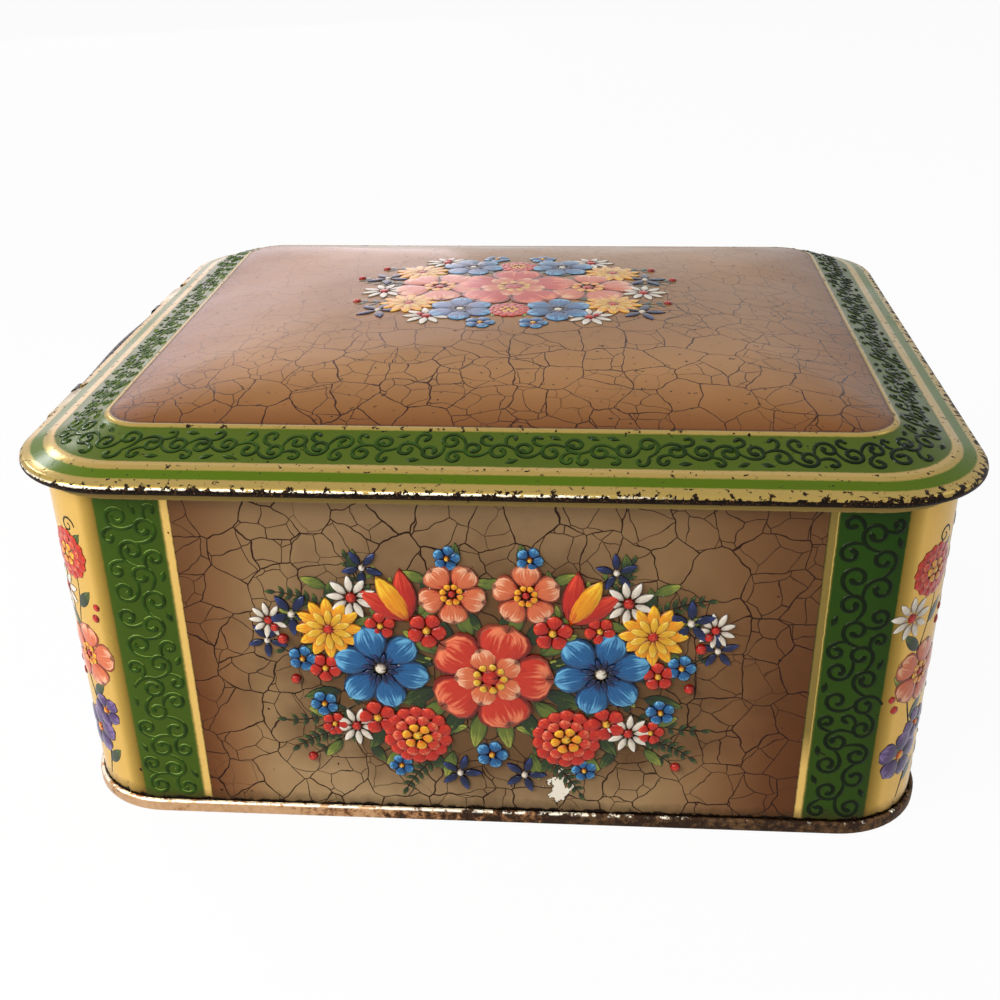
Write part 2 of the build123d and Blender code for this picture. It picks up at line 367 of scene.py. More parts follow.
def wall_print():
    """Litho-printed and varnished tinplate: gold lacquer at the corners, green scroll bands, crackled panels."""
    material, add, where = tin_material("litho_printed_tinplate")
    x, y, z = add("SeparateXYZ", where).node.outputs
    size = add("VectorMath ABSOLUTE", add("VectorMath SUBTRACT", where, (print_shift, 0, 0)))
    parts = add("SeparateXYZ", size).node.outputs

    # How far round the wall a point is from the middle of the nearest corner
    past = [add("Math SUBTRACT", parts[i], (wall_half[i] - wall_corner) * mm) for i in (0, 1)]
    angle = add("Math ARCTAN2", *[add("Math MAXIMUM", p, 0.0) for p in past])
    angle = add("Math ABSOLUTE", add("Math SUBTRACT", angle, math.pi / 4))
    flat = add("Math ADD", *[add("Math MINIMUM", p, 0.0) for p in past])
    reach = add("Math SUBTRACT", add("Math MULTIPLY", angle, wall_corner * mm), flat)
    ragged = add("TexNoise", where, Scale=900.0, Detail=3.0)
    ragged = add("MapRange", ragged, 0.0, 1.0, -0.00018, 0.00018)
    reach = add("Math ADD", reach, ragged)
    above = add("MapRange", add("Math ADD", parts[2], ragged), print_top, print_top + 0.0001)
    panel = add("MapRange", reach, line_band, line_band + 0.0001)
    panel = add("Math MULTIPLY", panel, add("Math SUBTRACT", 1.0, above))

    share = add("Math MULTIPLY", reach, 1 / print_span)
    corner, scroll, line = [band / print_span for band in (corner_band, scroll_band, line_band)]
    gold, cream, green, dark, white, black = "D8AE5C", "DDB564", "3E5212", "2A1A0A", "FFFFFF", "000000"
    # Beside the green band the gold is painted darker olive, as a painted reflection
    bands = add("ValToRGB", share, stops=[
        (0.0, gold), (0.06, gold), (0.078, "B08E42"), (corner, "7A6022"), (corner + print_edge, green),
        (scroll, green), (scroll + print_edge, cream), (line - print_edge, cream), (line, dark), (1.0, dark)])
    golden = add("ValToRGB", share, stops=[
        (0.0, white), (corner, white), (corner + print_edge, black), (scroll, black),
        (scroll + print_edge, white), (line - print_edge, white), (line, black)])

    # Painted shade darkens the green to the right and upward; the cream line on the right is darker above its foot
    in_band = add("Math COMPARE", reach, (corner_band + scroll_band) / 2, (scroll_band - corner_band) / 2)
    painted_shade = add("Math ADD", add("MapRange", x, 0.0, 0.085, 0.06, 0.55),
                 add("MapRange", z, 0.03, 0.08, 0.0, 0.25))
    on_line = add("Math COMPARE", reach, (scroll_band + line_band + 0.0006) / 2, (line_band - scroll_band) / 2)
    line_darkening = add("Math MULTIPLY", add("MapRange", z, 0.018, 0.028, 0.0, 0.72), on_line)
    line_darkening = add("Math MULTIPLY", line_darkening, add("MapRange", x, 0.05, 0.065))

    # The panel darkens from its edge inwards, under mottling and a brown shade behind the flowers
    mottle = add("TexNoise", where, Scale=70.0, Detail=3.0)
    oval = add("CombineXYZ", add("Math MINIMUM", parts[0], parts[1]), add("Math SUBTRACT", z, 0.040))
    oval = add("VectorMath LENGTH", add("VectorMath MULTIPLY", oval, (1 / 0.056, 1 / 0.036, 1)))
    oval = add("Math MULTIPLY_ADD", mottle, 0.9, oval)
    shade = add("Math MULTIPLY", add("MapRange", oval, 1.12, 1.6, 0.86, 0.0), panel)
    soft = add("Math MULTIPLY", add("MapRange", mottle, 0.3, 0.75, 0.0, 0.25), panel)
    # On the right the panel's dark edge reaches twice as far in, and the right is painted darker still: painted
    # shade
    stretch = add("MapRange", x, -0.03, 0.03, 1.0, 0.5)
    sprayed = add("Math MULTIPLY", add("Math SUBTRACT", reach, line_band + 0.0002), stretch)
    sprayed = add("ValToRGB", add("Math MULTIPLY", sprayed, 1 / 0.04), stops=[
        (0.0, "5E3316"), (0.08, "6A4022"), (0.22, "855E3C"), (0.42, "9E8059"), (0.8, "A68A64")])
    sprayed = add("Mix RGBA", add("MapRange", x, 0.045, 0.08, 0.0, 0.58), sprayed, "4A2610")
    inside = add("MapRange", reach, line_band + 0.00015, line_band + 0.00028)
    dusk = add("Math MULTIPLY", add("MapRange", z, 0.03, 0.075, 0.0, 0.55), inside)
    # The strip above the print, under the lid's roll, is painted in shade, darkest at its top
    shade_under_roll = add("MapRange", z, print_top, print_top + 0.003)
    across = add("CombineXYZ", add("Math ADD", x, y), z)
    cracks = add("Math MULTIPLY", crackle(add, across, 0.0098, 0.0066, 0.0), panel)

    # One patch below the front's flowers has flaked to the print's white ground
    flake_at, flake_radii = (0.0155, -wall_half[1] * mm, 0.0105), (0.0034, 0.0034, 0.0062)
    rub = add("TexNoise", where, Scale=420.0, Detail=4.0)
    flake = add("VectorMath MULTIPLY", add("VectorMath SUBTRACT", where, flake_at), [1 / r for r in flake_radii])
    flake = add("Math MULTIPLY_ADD", rub, 3.0, add("VectorMath LENGTH", flake))
    rim = add("MapRange", flake, 2.3, 2.2)
    flake = add("MapRange", flake, 2.17, 2.12)

    # Grime and painted shade over the base's seam, and chips where the lid's roll rubs and along the base
    foot = add("Math MULTIPLY_ADD", rub, -0.003, z)
    grime_and_shade = add("MapRange", foot, 0.0021, 0.0052, 0.7, 0.0)
    # A black painted shadow line in the crease just above the seam
    gap = add("MapRange", foot, 0.0021, 0.0025, 1.0, 0.0)
    near = add("Math ADD", add("MapRange", z, 0.0034, 0.0052, 0.16, 0.0),
               add("MapRange", z, 0.0815, 0.0875, 0.0, 0.16))
    chips = add("MapRange", add("Math ADD", near, rub), 0.72, 0.735)
    metal = add("Math MULTIPLY", add("Math MAXIMUM", golden, above), 0.45)
    colour = overlaid(add, bands, [
        (add("Math MULTIPLY", painted_shade, in_band), "0A3400"), (line_darkening, "2C3208"), (inside, sprayed),
        (dusk, "6A4C30"), (shade, "50331B"), (above, add("Mix RGBA", shade_under_roll, "8E7640", "54401E")),
        (soft, "6E4C2C"), (cracks, "28130A"), (rim, "2A1608"), (flake, "E6DCC8"), (grime_and_shade, "3A2810"),
        (gap, "120A05")])
    lacquered(add, colour, metal, chips, cracks, 0.09)
    return material


def bare_tin():
    """Plain tinplate: bright tin gone grey, with faint rolling lines, gold varnish stains and rust specks."""
    material, add, where = tin_material("plain_tinplate")
    lines = add("TexNoise", add("VectorMath MULTIPLY", where, (60.0, 60.0, 2400.0)), Scale=1.0, Detail=3.0)
    stain = add("TexNoise", where, Scale=30.0, Detail=5.0)
    rust = add("MapRange", add("TexNoise", where, Scale=520.0, Detail=4.0), 0.68, 0.76)
    colour = add("ValToRGB", stain, stops=[(0.3, "B9B2A4"), (0.5, "C6BFAF"), (0.7, "B39F7C")])
    surfaced(add, add("Math MULTIPLY", lines, 0.000008), Base_Color=add("Mix RGBA", rust, colour, "5A3A22"),
             Metallic=add("MapRange", rust, 0.0, 1.0, 1.0, 0.2),
             Roughness=add("MapRange", lines, 0.3, 0.7, 0.28, 0.42))
    return material


printed_wall, plain_tin = wall_print(), bare_tin()
bare_top = 87.0
wall_line = bent_line([(0.69, 2.6, 0), (0.69, 0.57, 0.3), (-0.15, 0.57, 0.3), (-0.15, 88.2, 0)])
wall_line += rolled_edge(curl_middle, curl_radius, 0, 300)[1:]
wall_mesh = formed(curve_object("wall_section", [thick_line(wall_line, sheet)], True), strip_tree, {
    "Width": 2 * wall_half[0] * mm, "Depth": 2 * wall_half[1] * mm, "Corner": wall_corner * mm,
    "Corner Steps": corner_steps, "Finish": printed_wall})
wall_mesh.materials.append(plain_tin)


def inside_walls(point):
    """How far a point lies inside the wall's outer face, in mm."""
    q = [abs(point[i]) / mm - wall_half[i] + wall_corner for i in (0, 1)]
    return wall_corner - math.hypot(max(q[0], 0), max(q[1], 0)) - min(max(q), 0)


for face in wall_mesh.polygons:
    if inside_walls(face.center) > sheet / 2 + 0.05 and face.center.z < bare_top * mm:
        face.material_index = 1
finished(wall_mesh, "printed_walls", "box", "body_shell")

# The strip's two ends are hooked together and pressed flat inside the far wall. Each level is a height and the
# share of the seam's thickness there.
seam_x, seam_width = 62.0, 4.0
seam_levels = ((4.3, 0.55), (5.5, 1.0), (45.15, 1.0), (84.366, 1.0), (86.0, 0.55))
inner_face = wall_half[1] - sheet
seam_section = [(-0.5, -0.05), (-0.5, 0.42), (-0.47, 0.56), (-0.4, 0.62), (0.26, 0.62), (0.3, 0.56), (0.33, 0.34),
                (0.37, 0.28), (0.44, 0.28), (0.5, 0.2), (0.5, -0.05)]
seam_points = [(seam_x + seam_width * x, inner_face - press * max(y, 0) - min(y, 0), level)
               for level, press in seam_levels for x, y in seam_section]
seam_mesh = plain_mesh("lock_seam", seam_points, ring_faces(len(seam_levels), len(seam_section)))
seam_mesh.materials.append(plain_tin)
finished(seam_mesh, "lock_seam", "box")


# Base: a sunk tinplate panel with a pressed step, whose rim is rolled with the wall's foot into a double seam.
# The seam's tin has worn to brown and rusted in pits, and its top corner carries a painted glint of bright metal.
seam_top = 3.3
seam_reach = 1.26


def rounded_point(half, corner, part, share):
    """A point of a rounded rectangle. Even parts are its straight sides from the front one on, odd ones its
    corners, and share runs along the part."""
    middles = [(side_x * (half[0] - corner), side_y * (half[1] - corner))
               for side_x, side_y in ((1, -1), (1, 1), (-1, 1), (-1, -1))]
    quarter = part // 2
    x, y = middles[quarter]
    angle = math.radians(90 * quarter - 90)
    if part % 2:
        angle += math.radians(90 * share)
    else:
        before = middles[quarter - 1]
        x, y = before[0] + (x - before[0]) * share, before[1] + (y - before[1]) * share
    return x + corner * math.cos(angle), y + corner * math.sin(angle)


def ring_shares(long_steps, short_steps, round_steps):
    """The parts and shares of one ring of points, from the left end of the front side."""
    counts = [round_steps if part % 2 else (short_steps if part % 4 else long_steps) for part in range(8)]
    return [(part, k / count) for part, count in enumerate(counts) for k in range(count)]


def skin(rings, shares, map_rings=None, lengths=None):
    """A closed mesh from rings of (half sizes, corner, height), in mm, with a plate over each end ring."""
    count = len(shares)
    points = [(*rounded_point(half, corner, part, share), height)
              for half, corner, height in rings for part, share in shares]
    mesh = plain_mesh("skin", points, ring_faces(len(rings), count))
    if map_rings:
        edge_map = mesh.uv_layers.new(name="print_place")
        starts = [0.0]
        for length in lengths:
            starts.append(starts[-1] + length)
        along = [starts[part] + share * lengths[part] for part, share in shares] + [starts[-1]]
        for face in mesh.polygons[:-2]:
            r, k = divmod(face.index, count)
            corners = ((along[k], map_rings[r]), (along[k + 1], map_rings[r]),
                       (along[k + 1], map_rings[r + 1]), (along[k], map_rings[r + 1]))
            for loop, place in zip(face.loop_indices, corners):
                edge_map.data[loop].uv = [v * mm for v in place]
        for face in mesh.polygons[-2:]:
            for loop in face.loop_indices:
                edge_map.data[loop].uv = (0.0, map_rings[0] * mm)
    return mesh


def worn_seam():
    """Tinplate rubbed by hands and shelves: tan varnish in patches, rust pits, a painted glint on the top corner."""
    material, add, where = tin_material("worn_tinplate_seam")
    x, _, z = add("SeparateXYZ", where).node.outputs
    patch = add("TexNoise", where, Scale=55.0, Detail=5.0, Roughness=0.65)
    pit = add("TexNoise", where, Scale=560.0, Detail=4.0, Roughness=0.7)
    wear = add("Math MULTIPLY_ADD", patch, 0.5, add("MapRange", x, -0.06, 0.03, -0.11, 0.25))
    wear = add("Math MULTIPLY_ADD", pit, 0.7, wear)
    colour = add("ValToRGB", wear, stops=[
        (0.3, "D6AF88"), (0.56, "C2966C"), (0.64, "8A5E3A"), (0.7, "402816"), (0.8, "22140A"), (0.95, "6A4C30")])
    # A painted glint of bright metal along the seam's top corner, fainter to the right
    glint = add("TexNoise", where, Scale=380.0, Detail=4.0, Roughness=0.75)
    glint = add("Math SUBTRACT", glint, add("MapRange", x, -0.02, 0.06, 0.44, 0.6))
    glint = add("Math MULTIPLY", add("MapRange", glint, 0.0, 0.05), add("MapRange", z, 0.0027, 0.0031))
    metal = add("Math MAXIMUM", add("MapRange", wear, 0.55, 0.7, 0.75, 0.15), glint)
    surfaced(add, add("Math MULTIPLY", pit, -0.00012), Base_Color=add("Mix RGBA", glint, colour, "EFE6D2"),
             Metallic=metal, Roughness=add("MapRange", wear, 0.5, 0.75, 0.32, 0.62), Specular_IOR_Level=0.15)
    return material


base_line = bent_line([
    (-24, 3.35, 0), (-9.0, 3.35, 0.5), (-9.4, 2.55, 0.5), (-0.57, 2.55, 0.45), (-0.57, 0.15, 0.42),
    (seam_reach - 0.15, 0.15, 0.55), (seam_reach - 0.15, seam_top - 0.15, 0.6), (0.27, seam_top - 0.15, 0.25),
    (0.27, 1.1, 0)])
base_rings = [([h + out for h in wall_half], max(wall_corner + out, 4.0), up) for out, up in
              thick_line(base_line, sheet)]
base_mesh = skin(base_rings, ring_shares(8, 8, corner_steps))
base_mesh.materials.append(worn_seam())
base_mesh.materials.append(plain_tin)
for face in base_mesh.polygons:
    if inside_walls(face.center) > sheet:
        face.material_index = 1
finished(base_mesh, "rolled_base", "box", "base_panel")


# Lid: one drawn sheet with a pillow-shaped middle, a raised gold line round it, a sloping border with gold
# and green bands, and a rolled edge. The print is the walls', and the roll's lacquer has chipped to black steel.
lid_half = (105.0, 93.0)
lid_corner = 25.0
bead_radius = 1.3
bead_up = 87.2157
border_foot = (1.3, 88.5157)
border_top = (19.5, 94.3657)
dome_corner = 9.5
dome_rise = 7.3
dome_power = 2.8
dome_rounding, dome_roundest = 0.55, 0.9
border_drop = sheet * 1.05
roll_line, field_line, scroll_edges = 2.61, 5.14, (7.7, 18.18)
tab_middles = (-43.0, 43.0)
tab_width, tab_gap = 15.0, 0.5


def lid_outline(inset):
    """Half sizes and corner radius of the lid's outline, moved in by an inset in mm over its roll or border."""
    share = max(0.0, (inset - border_foot[0]) / (border_top[0] - border_foot[0]))
    foot_corner = lid_corner - border_foot[0]
    corner = foot_corner + (dome_corner - foot_corner) * share if share else lid_corner - inset
    return [h - inset for h in lid_half], corner


def dome_outline(share):
    """Half sizes and corner radius of the dome's level line that is this share of its foot's size."""
    half = [(h - border_top[0]) * share for h in lid_half]
    corner = dome_corner + dome_rounding * (lid_half[1] - border_top[0]) * (1 - share)
    return half, min(corner, dome_roundest * half[1])


def border_height(inset):
    rise = (border_top[1] - border_foot[1]) / (border_top[0] - border_foot[0])
    return border_foot[1] + (inset - border_foot[0]) * rise


# The lid's rings of points go along the roll, over the border and up the dome. Two lines on the border are
# raised, each from one inset to another by a height.
line_bands = ((field_line, scroll_edges[0], 0.1), (scroll_edges[1], border_top[0], 0.22))
roll_angles = [-220 + 310 * k / 20 for k in range(21)]
dome_shares = [1 - (k / 30) ** 1.6 for k in range(1, 30)] + [0.008]
border_insets = sorted({roll_line, 4.0, 9.5, 11.5, 13.5, 15.5, 17.0,
                        *[a + (b - a) * k / 6 for a, b, _ in line_bands for k in range(7)]})


def lid_side(radius, drop):
    """Rings of one face of the lid's sheet, from the roll's inner end to the dome's top, with print places."""
    rings, places = [], []
    for angle in roll_angles:
        turn = math.radians(angle)
        half, corner = lid_outline(border_foot[0] - radius * math.cos(turn))
        rings.append((half, corner, bead_up + radius * math.sin(turn)))
        places.append(border_foot[0] - bead_radius * math.radians(90 - angle))
    for inset in border_insets:
        raised = sum(lift * math.sin(math.pi * (inset - a) / (b - a)) for a, b, lift in line_bands if a < inset < b)
        rings.append((*lid_outline(inset), border_height(inset) + raised - drop))
        places.append(inset)
    for share in dome_shares:
        rings.append((*dome_outline(share), border_top[1] + dome_rise * (1 - share ** dome_power) - drop))
        places.append(border_top[0] + (1 - share) * (lid_half[1] - border_top[0]))
    return rings, places


def cut_away(mesh, blocks):
    """The mesh without the blocks, each given by its two far corners in mm."""
    corners = [[(x, y, z) for x in (a[0], b[0]) for y in (a[1], b[1]) for z in (a[2], b[2])] for a, b in blocks]
    sides = ((0, 1, 3, 2), (4, 6, 7, 5), (0, 4, 5, 1), (2, 3, 7, 6), (0, 2, 6, 4), (1, 5, 7, 3))
    solid = placed("solid", mesh)
    cutter = placed("cutter", plain_mesh("cutter", [point for block in corners for point in block], [
        [8 * k + v for v in side] for k in range(len(blocks)) for side in sides]))
    cut = solid.modifiers.new("cut", "BOOLEAN")
    cut.operation, cut.solver, cut.object = "DIFFERENCE", "EXACT", cutter
    done = baked(solid)
    bpy.data.objects.remove(cutter)
    return done


def lid_print(name):
    """The lid's litho print: gold lacquer and green border bands, and a crackled brown middle, under varnish."""
    material, add, where = tin_material(name)
    x, y, _ = add("SeparateXYZ", where).node.outputs
    inset = add("SeparateXYZ", add("UVMap", uv_map="print_place")).node.outputs[1]
    ragged = add("TexNoise", where, Scale=900.0, Detail=3.0)
    inset = add("Math ADD", inset, add("MapRange", ragged, 0.0, 1.0, -0.00016, 0.00016))
    share = add("Math MULTIPLY", inset, 1 / print_span)
    cream, bright, green, scroll_green = "A68C4C", "B0945A", "4E6406", "4A5A14"
    dome_line = 19.45
    # The raised gold line's inner half, towards the dome, is in the colour bright: a painted highlight
    lines = [(0.0, cream), (roll_line, cream), (roll_line, green), (field_line, green), (field_line, cream),
             (6.3, cream), (6.5, bright), (scroll_edges[0], bright), (scroll_edges[0], scroll_green),
             (scroll_edges[1], scroll_green), (scroll_edges[1], cream), (19.4, cream), (dome_line, "4A2A14"),
             (20.2, "7A4A22"), (27.0, "8F6034"), (42.0, "AA7C4E"), (75.0, "BC8C5C")]
    bands = add("ValToRGB", share, stops=[
        (at * mm / print_span + (print_edge if k and at == lines[k - 1][0] else 0), colour)
        for k, (at, colour) in enumerate(lines)])
    golden = add("ValToRGB", share, stops=[
        (at * mm / print_span + wide, ("FFFFFF", "000000")[tone % 2])
        for k, at in enumerate((roll_line, field_line, *scroll_edges, dome_line))
        for wide, tone in ((0, k), (print_edge, k + 1))])
    panel = add("MapRange", inset, (dome_line + 0.03) * mm, (dome_line + 0.13) * mm)

    mottle = add("TexNoise", where, Scale=60.0, Detail=3.0)
    oval = add("VectorMath LENGTH", add("VectorMath MULTIPLY", where, (1 / 0.066, 1 / 0.046, 0)))
    oval = add("Math MULTIPLY_ADD", mottle, 0.8, oval)
    shade = add("Math MULTIPLY", add("MapRange", oval, 1.1, 1.6, 0.4, 0.0), panel)
    soft = add("Math MULTIPLY", add("MapRange", mottle, 0.3, 0.75, 0.0, 0.3), panel)
    faint = add("Math MULTIPLY_ADD", x, -0.45, y)
    cracks = add("Math MULTIPLY", crackle(add, where, 0.0094, 0.0062, 0.4),
                 add("MapRange", faint, -0.035, 0.015, 1.0, 0.4))
    cracks = add("Math MULTIPLY", cracks, panel)

    # Chips: all round the roll, worst on its underside and on the right, and here and there on the gold lines.
    # The roll's crest carries a painted highlight of bright metal, stronger on the left.
    rub = add("TexNoise", where, Scale=620.0, Detail=4.0, Roughness=0.62)
    crest_highlight = add("Math SUBTRACT", rub, add("MapRange", x, 0.0, 0.08, 0.36, 0.66))
    crest_highlight = add("Math MULTIPLY", add("MapRange", inset, -0.0001, 0.0, 1.0, 0.0), add("MapRange", crest_highlight, 0.0, 0.03))
    low = add("Math ADD", add("MapRange", inset, -0.0007, -0.00045, 0.5, 0.1),
              add("MapRange", inset, -0.0004, 0.0016, 0.03, -0.08))
    right_side = add("Math MULTIPLY", add("MapRange", x, 0.06, 0.1, 0.0, 0.09),
                     add("MapRange", inset, 0.001, 0.003, 1.0, 0.0))
    rub = add("Math ADD", add("Math ADD", rub, low), right_side)
    chips = add("MapRange", add("Math MULTIPLY_ADD", golden, 0.05, rub), 0.69, 0.705)
    metal = add("Math MAXIMUM", add("Math MULTIPLY", golden, 0.45), crest_highlight)
    colour = overlaid(add, bands, [(shade, "5E3E24"), (soft, "6E4526"), (cracks, "341404"), (crest_highlight, "FFF3D8")])
    lacquered(add, colour, metal, chips, cracks, 0.08)
    return material


def part_lengths(half, corner):
    """The lengths of a rounded rectangle's parts, from its front side on."""
    return [math.pi / 2 * corner if part % 2 else 2 * (half[1 if part % 4 else 0] - corner) for part in range(8)]


border_print, dome_print = lid_print("litho_printed_border"), lid_print("litho_printed_dome")
band_lengths = part_lengths(*lid_outline(sum(scroll_edges) / 2))
outer_rings, outer_places = lid_side(bead_radius, 0.0)
inner_rings, inner_places = lid_side(bead_radius - sheet, border_drop)
lid_ring = ring_shares(26, 22, corner_steps)
lid_mesh = skin(outer_rings[::-1] + inner_rings, lid_ring, outer_places[::-1] + inner_places, band_lengths)
for finish in (border_print, plain_tin, dome_print):
    lid_mesh.materials.append(finish)
inner_start, outer_plate = len(outer_rings) * len(lid_ring), len(lid_mesh.polygons) - 2
for face in lid_mesh.polygons:
    if inner_start <= face.index != outer_plate:
        face.material_index = 1
    elif face.center.z > border_top[1] * mm:
        face.material_index = 2

# The roll is cut away where the tabs leave the border
cut_low, cut_high, cut_half = (-108, 84), (-102.35, 90), tab_width / 2 + tab_gap
lid_mesh = cut_away(lid_mesh, [((cut_low[0], middle - cut_half, cut_low[1]),
                                (cut_high[0], middle + cut_half, cut_high[1])) for middle in tab_middles])
finished(lid_mesh, "printed_lid", "cover", "lid")


# Scrollwork: curls, each growing out of a line before it, with drop leaves between them, pressed up in the green
# bands of the walls and the lid. Their ink is the darkest green, and the varnish on them catches the light.
line_step = 0.45
line_width = 1.0
line_height = 0.25
band_margin = 0.35
leaf_spacing = 11.0

relief_tree, add, given = node_group("pressed_lines", (
    ("Width", "Float"), ("Height", "Float"), ("Sides", "Int"), ("Finish", "Material")))
ridge = add("GeometryNodeCurvePrimitiveCircle", given["Sides"], Radius=0.5)
scale = add("CombineXYZ", given["Width"], given["Height"], 1.0)
ridge = add("GeometryNodeTransform", ridge, Scale=scale)
route = add("GeometryNodeSetCurveNormal", given["Geometry"], mode="Z_UP")
ridge = add("GeometryNodeCurveToMesh", route, ridge, Scale=add("GeometryNodeInputRadius"), Fill_Caps=True)
spot = add("SeparateXYZ", add("GeometryNodeInputPosition")).node.outputs
flat_back = add("CombineXYZ", spot[0], spot[1], add("Math MAXIMUM", spot[2], -0.00008))
ended(add, add("GeometryNodeSetPosition", ridge, Position=flat_back), given["Finish"])


def scroll_lines(length, width, closed, seed, largest, smallest, gap):
    """Curls that fill a band, each tangent to the line it grows from, then leaves in what is left.
    Returns the lines as (along, across) points in mm, and how far each point swells."""
    draw = np.random.default_rng(seed)
    cell = 0.3
    columns, rows = round(length / cell), round(width / cell)
    along = (np.arange(columns) + 0.5) * length / columns
    across = (np.arange(rows) + 0.5) * width / rows
    spots = np.stack(np.meshgrid(along, across, indexing="ij"), -1)
    room = np.broadcast_to(np.minimum(across, width - across) - band_margin, (columns, rows)).copy()
    if not closed:
        room = np.minimum(room, (np.minimum(along, length - along) - band_margin)[:, None])
    reach = np.full((columns, rows), 1e3)
    root_at, root_way = np.zeros((columns, rows, 2)), np.zeros((columns, rows, 2))
    lines, swell = [], []

    def add_line(points, widths):
        way = np.gradient(points, axis=0)
        way /= np.linalg.norm(way, axis=1)[:, None]
        away = spots[:, :, None] - points
        if closed:
            away[..., 0] -= length * np.round(away[..., 0] / length)
        distance = np.hypot(away[..., 0], away[..., 1])
        nearest = distance.argmin(2)
        closest = np.take_along_axis(distance, nearest[..., None], 2)[..., 0]
        nearer = closest < reach
        reach[nearer] = closest[nearer]
        chosen = np.take_along_axis(away, nearest[..., None, None], 2)[:, :, 0]
        root_at[nearer] = (spots - chosen)[nearer]
        root_way[nearer] = way[nearest][nearer]
        np.minimum(room, closest - gap, out=room)
        lines.append(points)
        swell.append(widths)

    # Each curl goes where there is most room near a line, leaves that line along its tangent and winds in to a bud
    while True:
        size = np.minimum(room, largest)
        score = size - 0.4 * np.minimum(np.maximum(reach - gap - size, 0), 8) + draw.uniform(0, 0.25, room.shape)
        score[room < smallest] = -99
        spot = np.unravel_index(score.argmax(), score.shape)
        if room[spot] < smallest:
            break
        centre, radius = spots[spot], size[spot] * draw.uniform(0.92, 1.0)
        if lines:
            root, way = root_at[spot], root_way[spot]
        else:
            root, way = centre + (0.0, -radius - gap), np.array([1.0, 0.0])
        out = root - centre
        start = math.atan2(out[1], out[0])
        sense = 1 if np.dot(way, (-out[1], out[0])) > 0 else -1
        turns = 2 * math.pi * draw.uniform(0.55, 0.7) * min(radius, 2.6) ** 0.8
        turned = np.linspace(0, turns, max(12, int(turns * radius * 0.68 / line_step)))
        radii = radius * (1 - 0.74 * (turned / turns) ** 0.85)
        radii += (math.hypot(*out) - radius) * np.exp(-turned / 0.5)
        angle = start + sense * turned
        widths = np.interp(turned / turns, [0, 0.12, 0.8, 0.93, 1], [0.6, 0.95, 1.0, 1.5, 1.0])
        add_line(centre + radii[:, None] * np.stack([np.cos(angle), np.sin(angle)], 1), widths)

    # Each leaf is a short line that swells in its middle
    end = round(1.0 / cell)
    for _ in range(round(length / leaf_spacing)):
        clear = np.minimum(room, np.minimum(np.roll(room, end, 0), np.roll(room, -end, 0)))
        clear += draw.uniform(0, 0.1, room.shape)
        spot = np.unravel_index(clear.argmax(), clear.shape)
        if clear[spot] < band_margin:
            break
        lean = draw.uniform(-0.5, 0.5)
        steps = np.linspace(-1.5, 1.5, 9)[:, None]
        add_line(spots[spot] + np.array([math.cos(lean), math.sin(lean)]) * steps,
                 np.array([0.1, 0.5, 0.95, 1.25, 1.35, 1.2, 0.9, 0.5, 0.1]))
    return lines, swell


def pressed_ink(name, base, bright):
    """A raised line's varnished ink: paler in small blotches, and darker towards the right as painted shade."""
    material, add, where = tin_material(name)
    blotch = add("TexNoise", where, Scale=260.0, Detail=3.0)
    colour = add("ValToRGB", blotch, stops=[(0.35, base), (0.7, bright)])
    painted_shade = add("MapRange", add("SeparateXYZ", where), 0.02, 0.075, 0.0, 0.9)
    grain = add("TexNoise", where, Scale=3000.0, Detail=2.0)
    surfaced(add, add("Math MULTIPLY", grain, 0.00001), Base_Color=add("Mix RGBA", painted_shade, colour, "071203"),
             Roughness=add("MapRange", blotch, 0.3, 0.7, 0.1, 0.2), Specular_IOR_Level=0.05, Coat_Weight=0.07,
             Coat_Roughness=0.06)
    return material


def pressed_lines(lines, swell, finish, width=line_width, height=line_height, sides=8):
    """The flat relief mesh of these lines: across and along in the plane, and its height above it, in mm."""
    source = curve_object("pressed_lines", [[(*p, 0.0) for p in line] for line in lines], False, swell)
    return formed(source, relief_tree, {"Width": width * mm, "Height": 2 * height * mm, "Sides": sides,
                                        "Finish": finish})


def shaded(mesh, lit, shadow, axis):
    """Gives each raised line's two sides painted light and painted shade, lit from the axis' far end."""
    mesh.materials.append(lit)
    mesh.materials.append(shadow)
    for face in mesh.polygons:
        if face.normal.z > 0.05 and abs(face.normal[axis]) > 0.45:
            face.material_index = 1 if face.normal[axis] > 0 else 2
    return mesh


def wrapped(mesh, place):
    """Moves a flat mesh onto the tin: place turns its (along, across, height) in mm into metres."""
    flat = np.empty(len(mesh.vertices) * 3)
    mesh.vertices.foreach_get("co", flat)
    moved = np.array([place(*p) for p in flat.reshape(-1, 3) / mm])
    mesh.vertices.foreach_set("co", moved.ravel())
    mesh.update()
    return mesh


def joined(meshes, name):
    """One mesh from several that share their materials' order."""
    work = bmesh.new()
    for mesh in meshes:
        work.from_mesh(mesh)
    made = bpy.data.meshes.new(name)
    for material in meshes[0].materials:
        made.materials.append(material)
    work.to_mesh(made)
    work.free()
    return made


wall_lengths = part_lengths(wall_half, wall_corner)
border_lean = (0.3, 0.95)


def part_of(along, lengths):
    """The part of an outline that a distance along it falls on, and the share of that part."""
    along %= sum(lengths)
    for part, length in enumerate(lengths):
        if along <= length:
            return part, along / length
        along -= length
    return 7, 1.0


def on_wall(along, up, lift):
    """A point on the wall's outer face, counted in mm from the left end of the front side."""
    part, share = part_of(along, wall_lengths)
    x, y = rounded_point([h + lift for h in wall_half], wall_corner + lift, part, share)
    return x * mm, y * mm, up * mm


def on_border(along, inset, lift):
    """A point on the lid's sloping border, counted in mm along the middle of its scroll band."""
    part, share = part_of(along, band_lengths)
    x, y = rounded_point(*lid_outline(inset - border_lean[0] * lift), part, share)
    return x * mm, y * mm, (border_height(inset) + border_lean[1] * lift) * mm
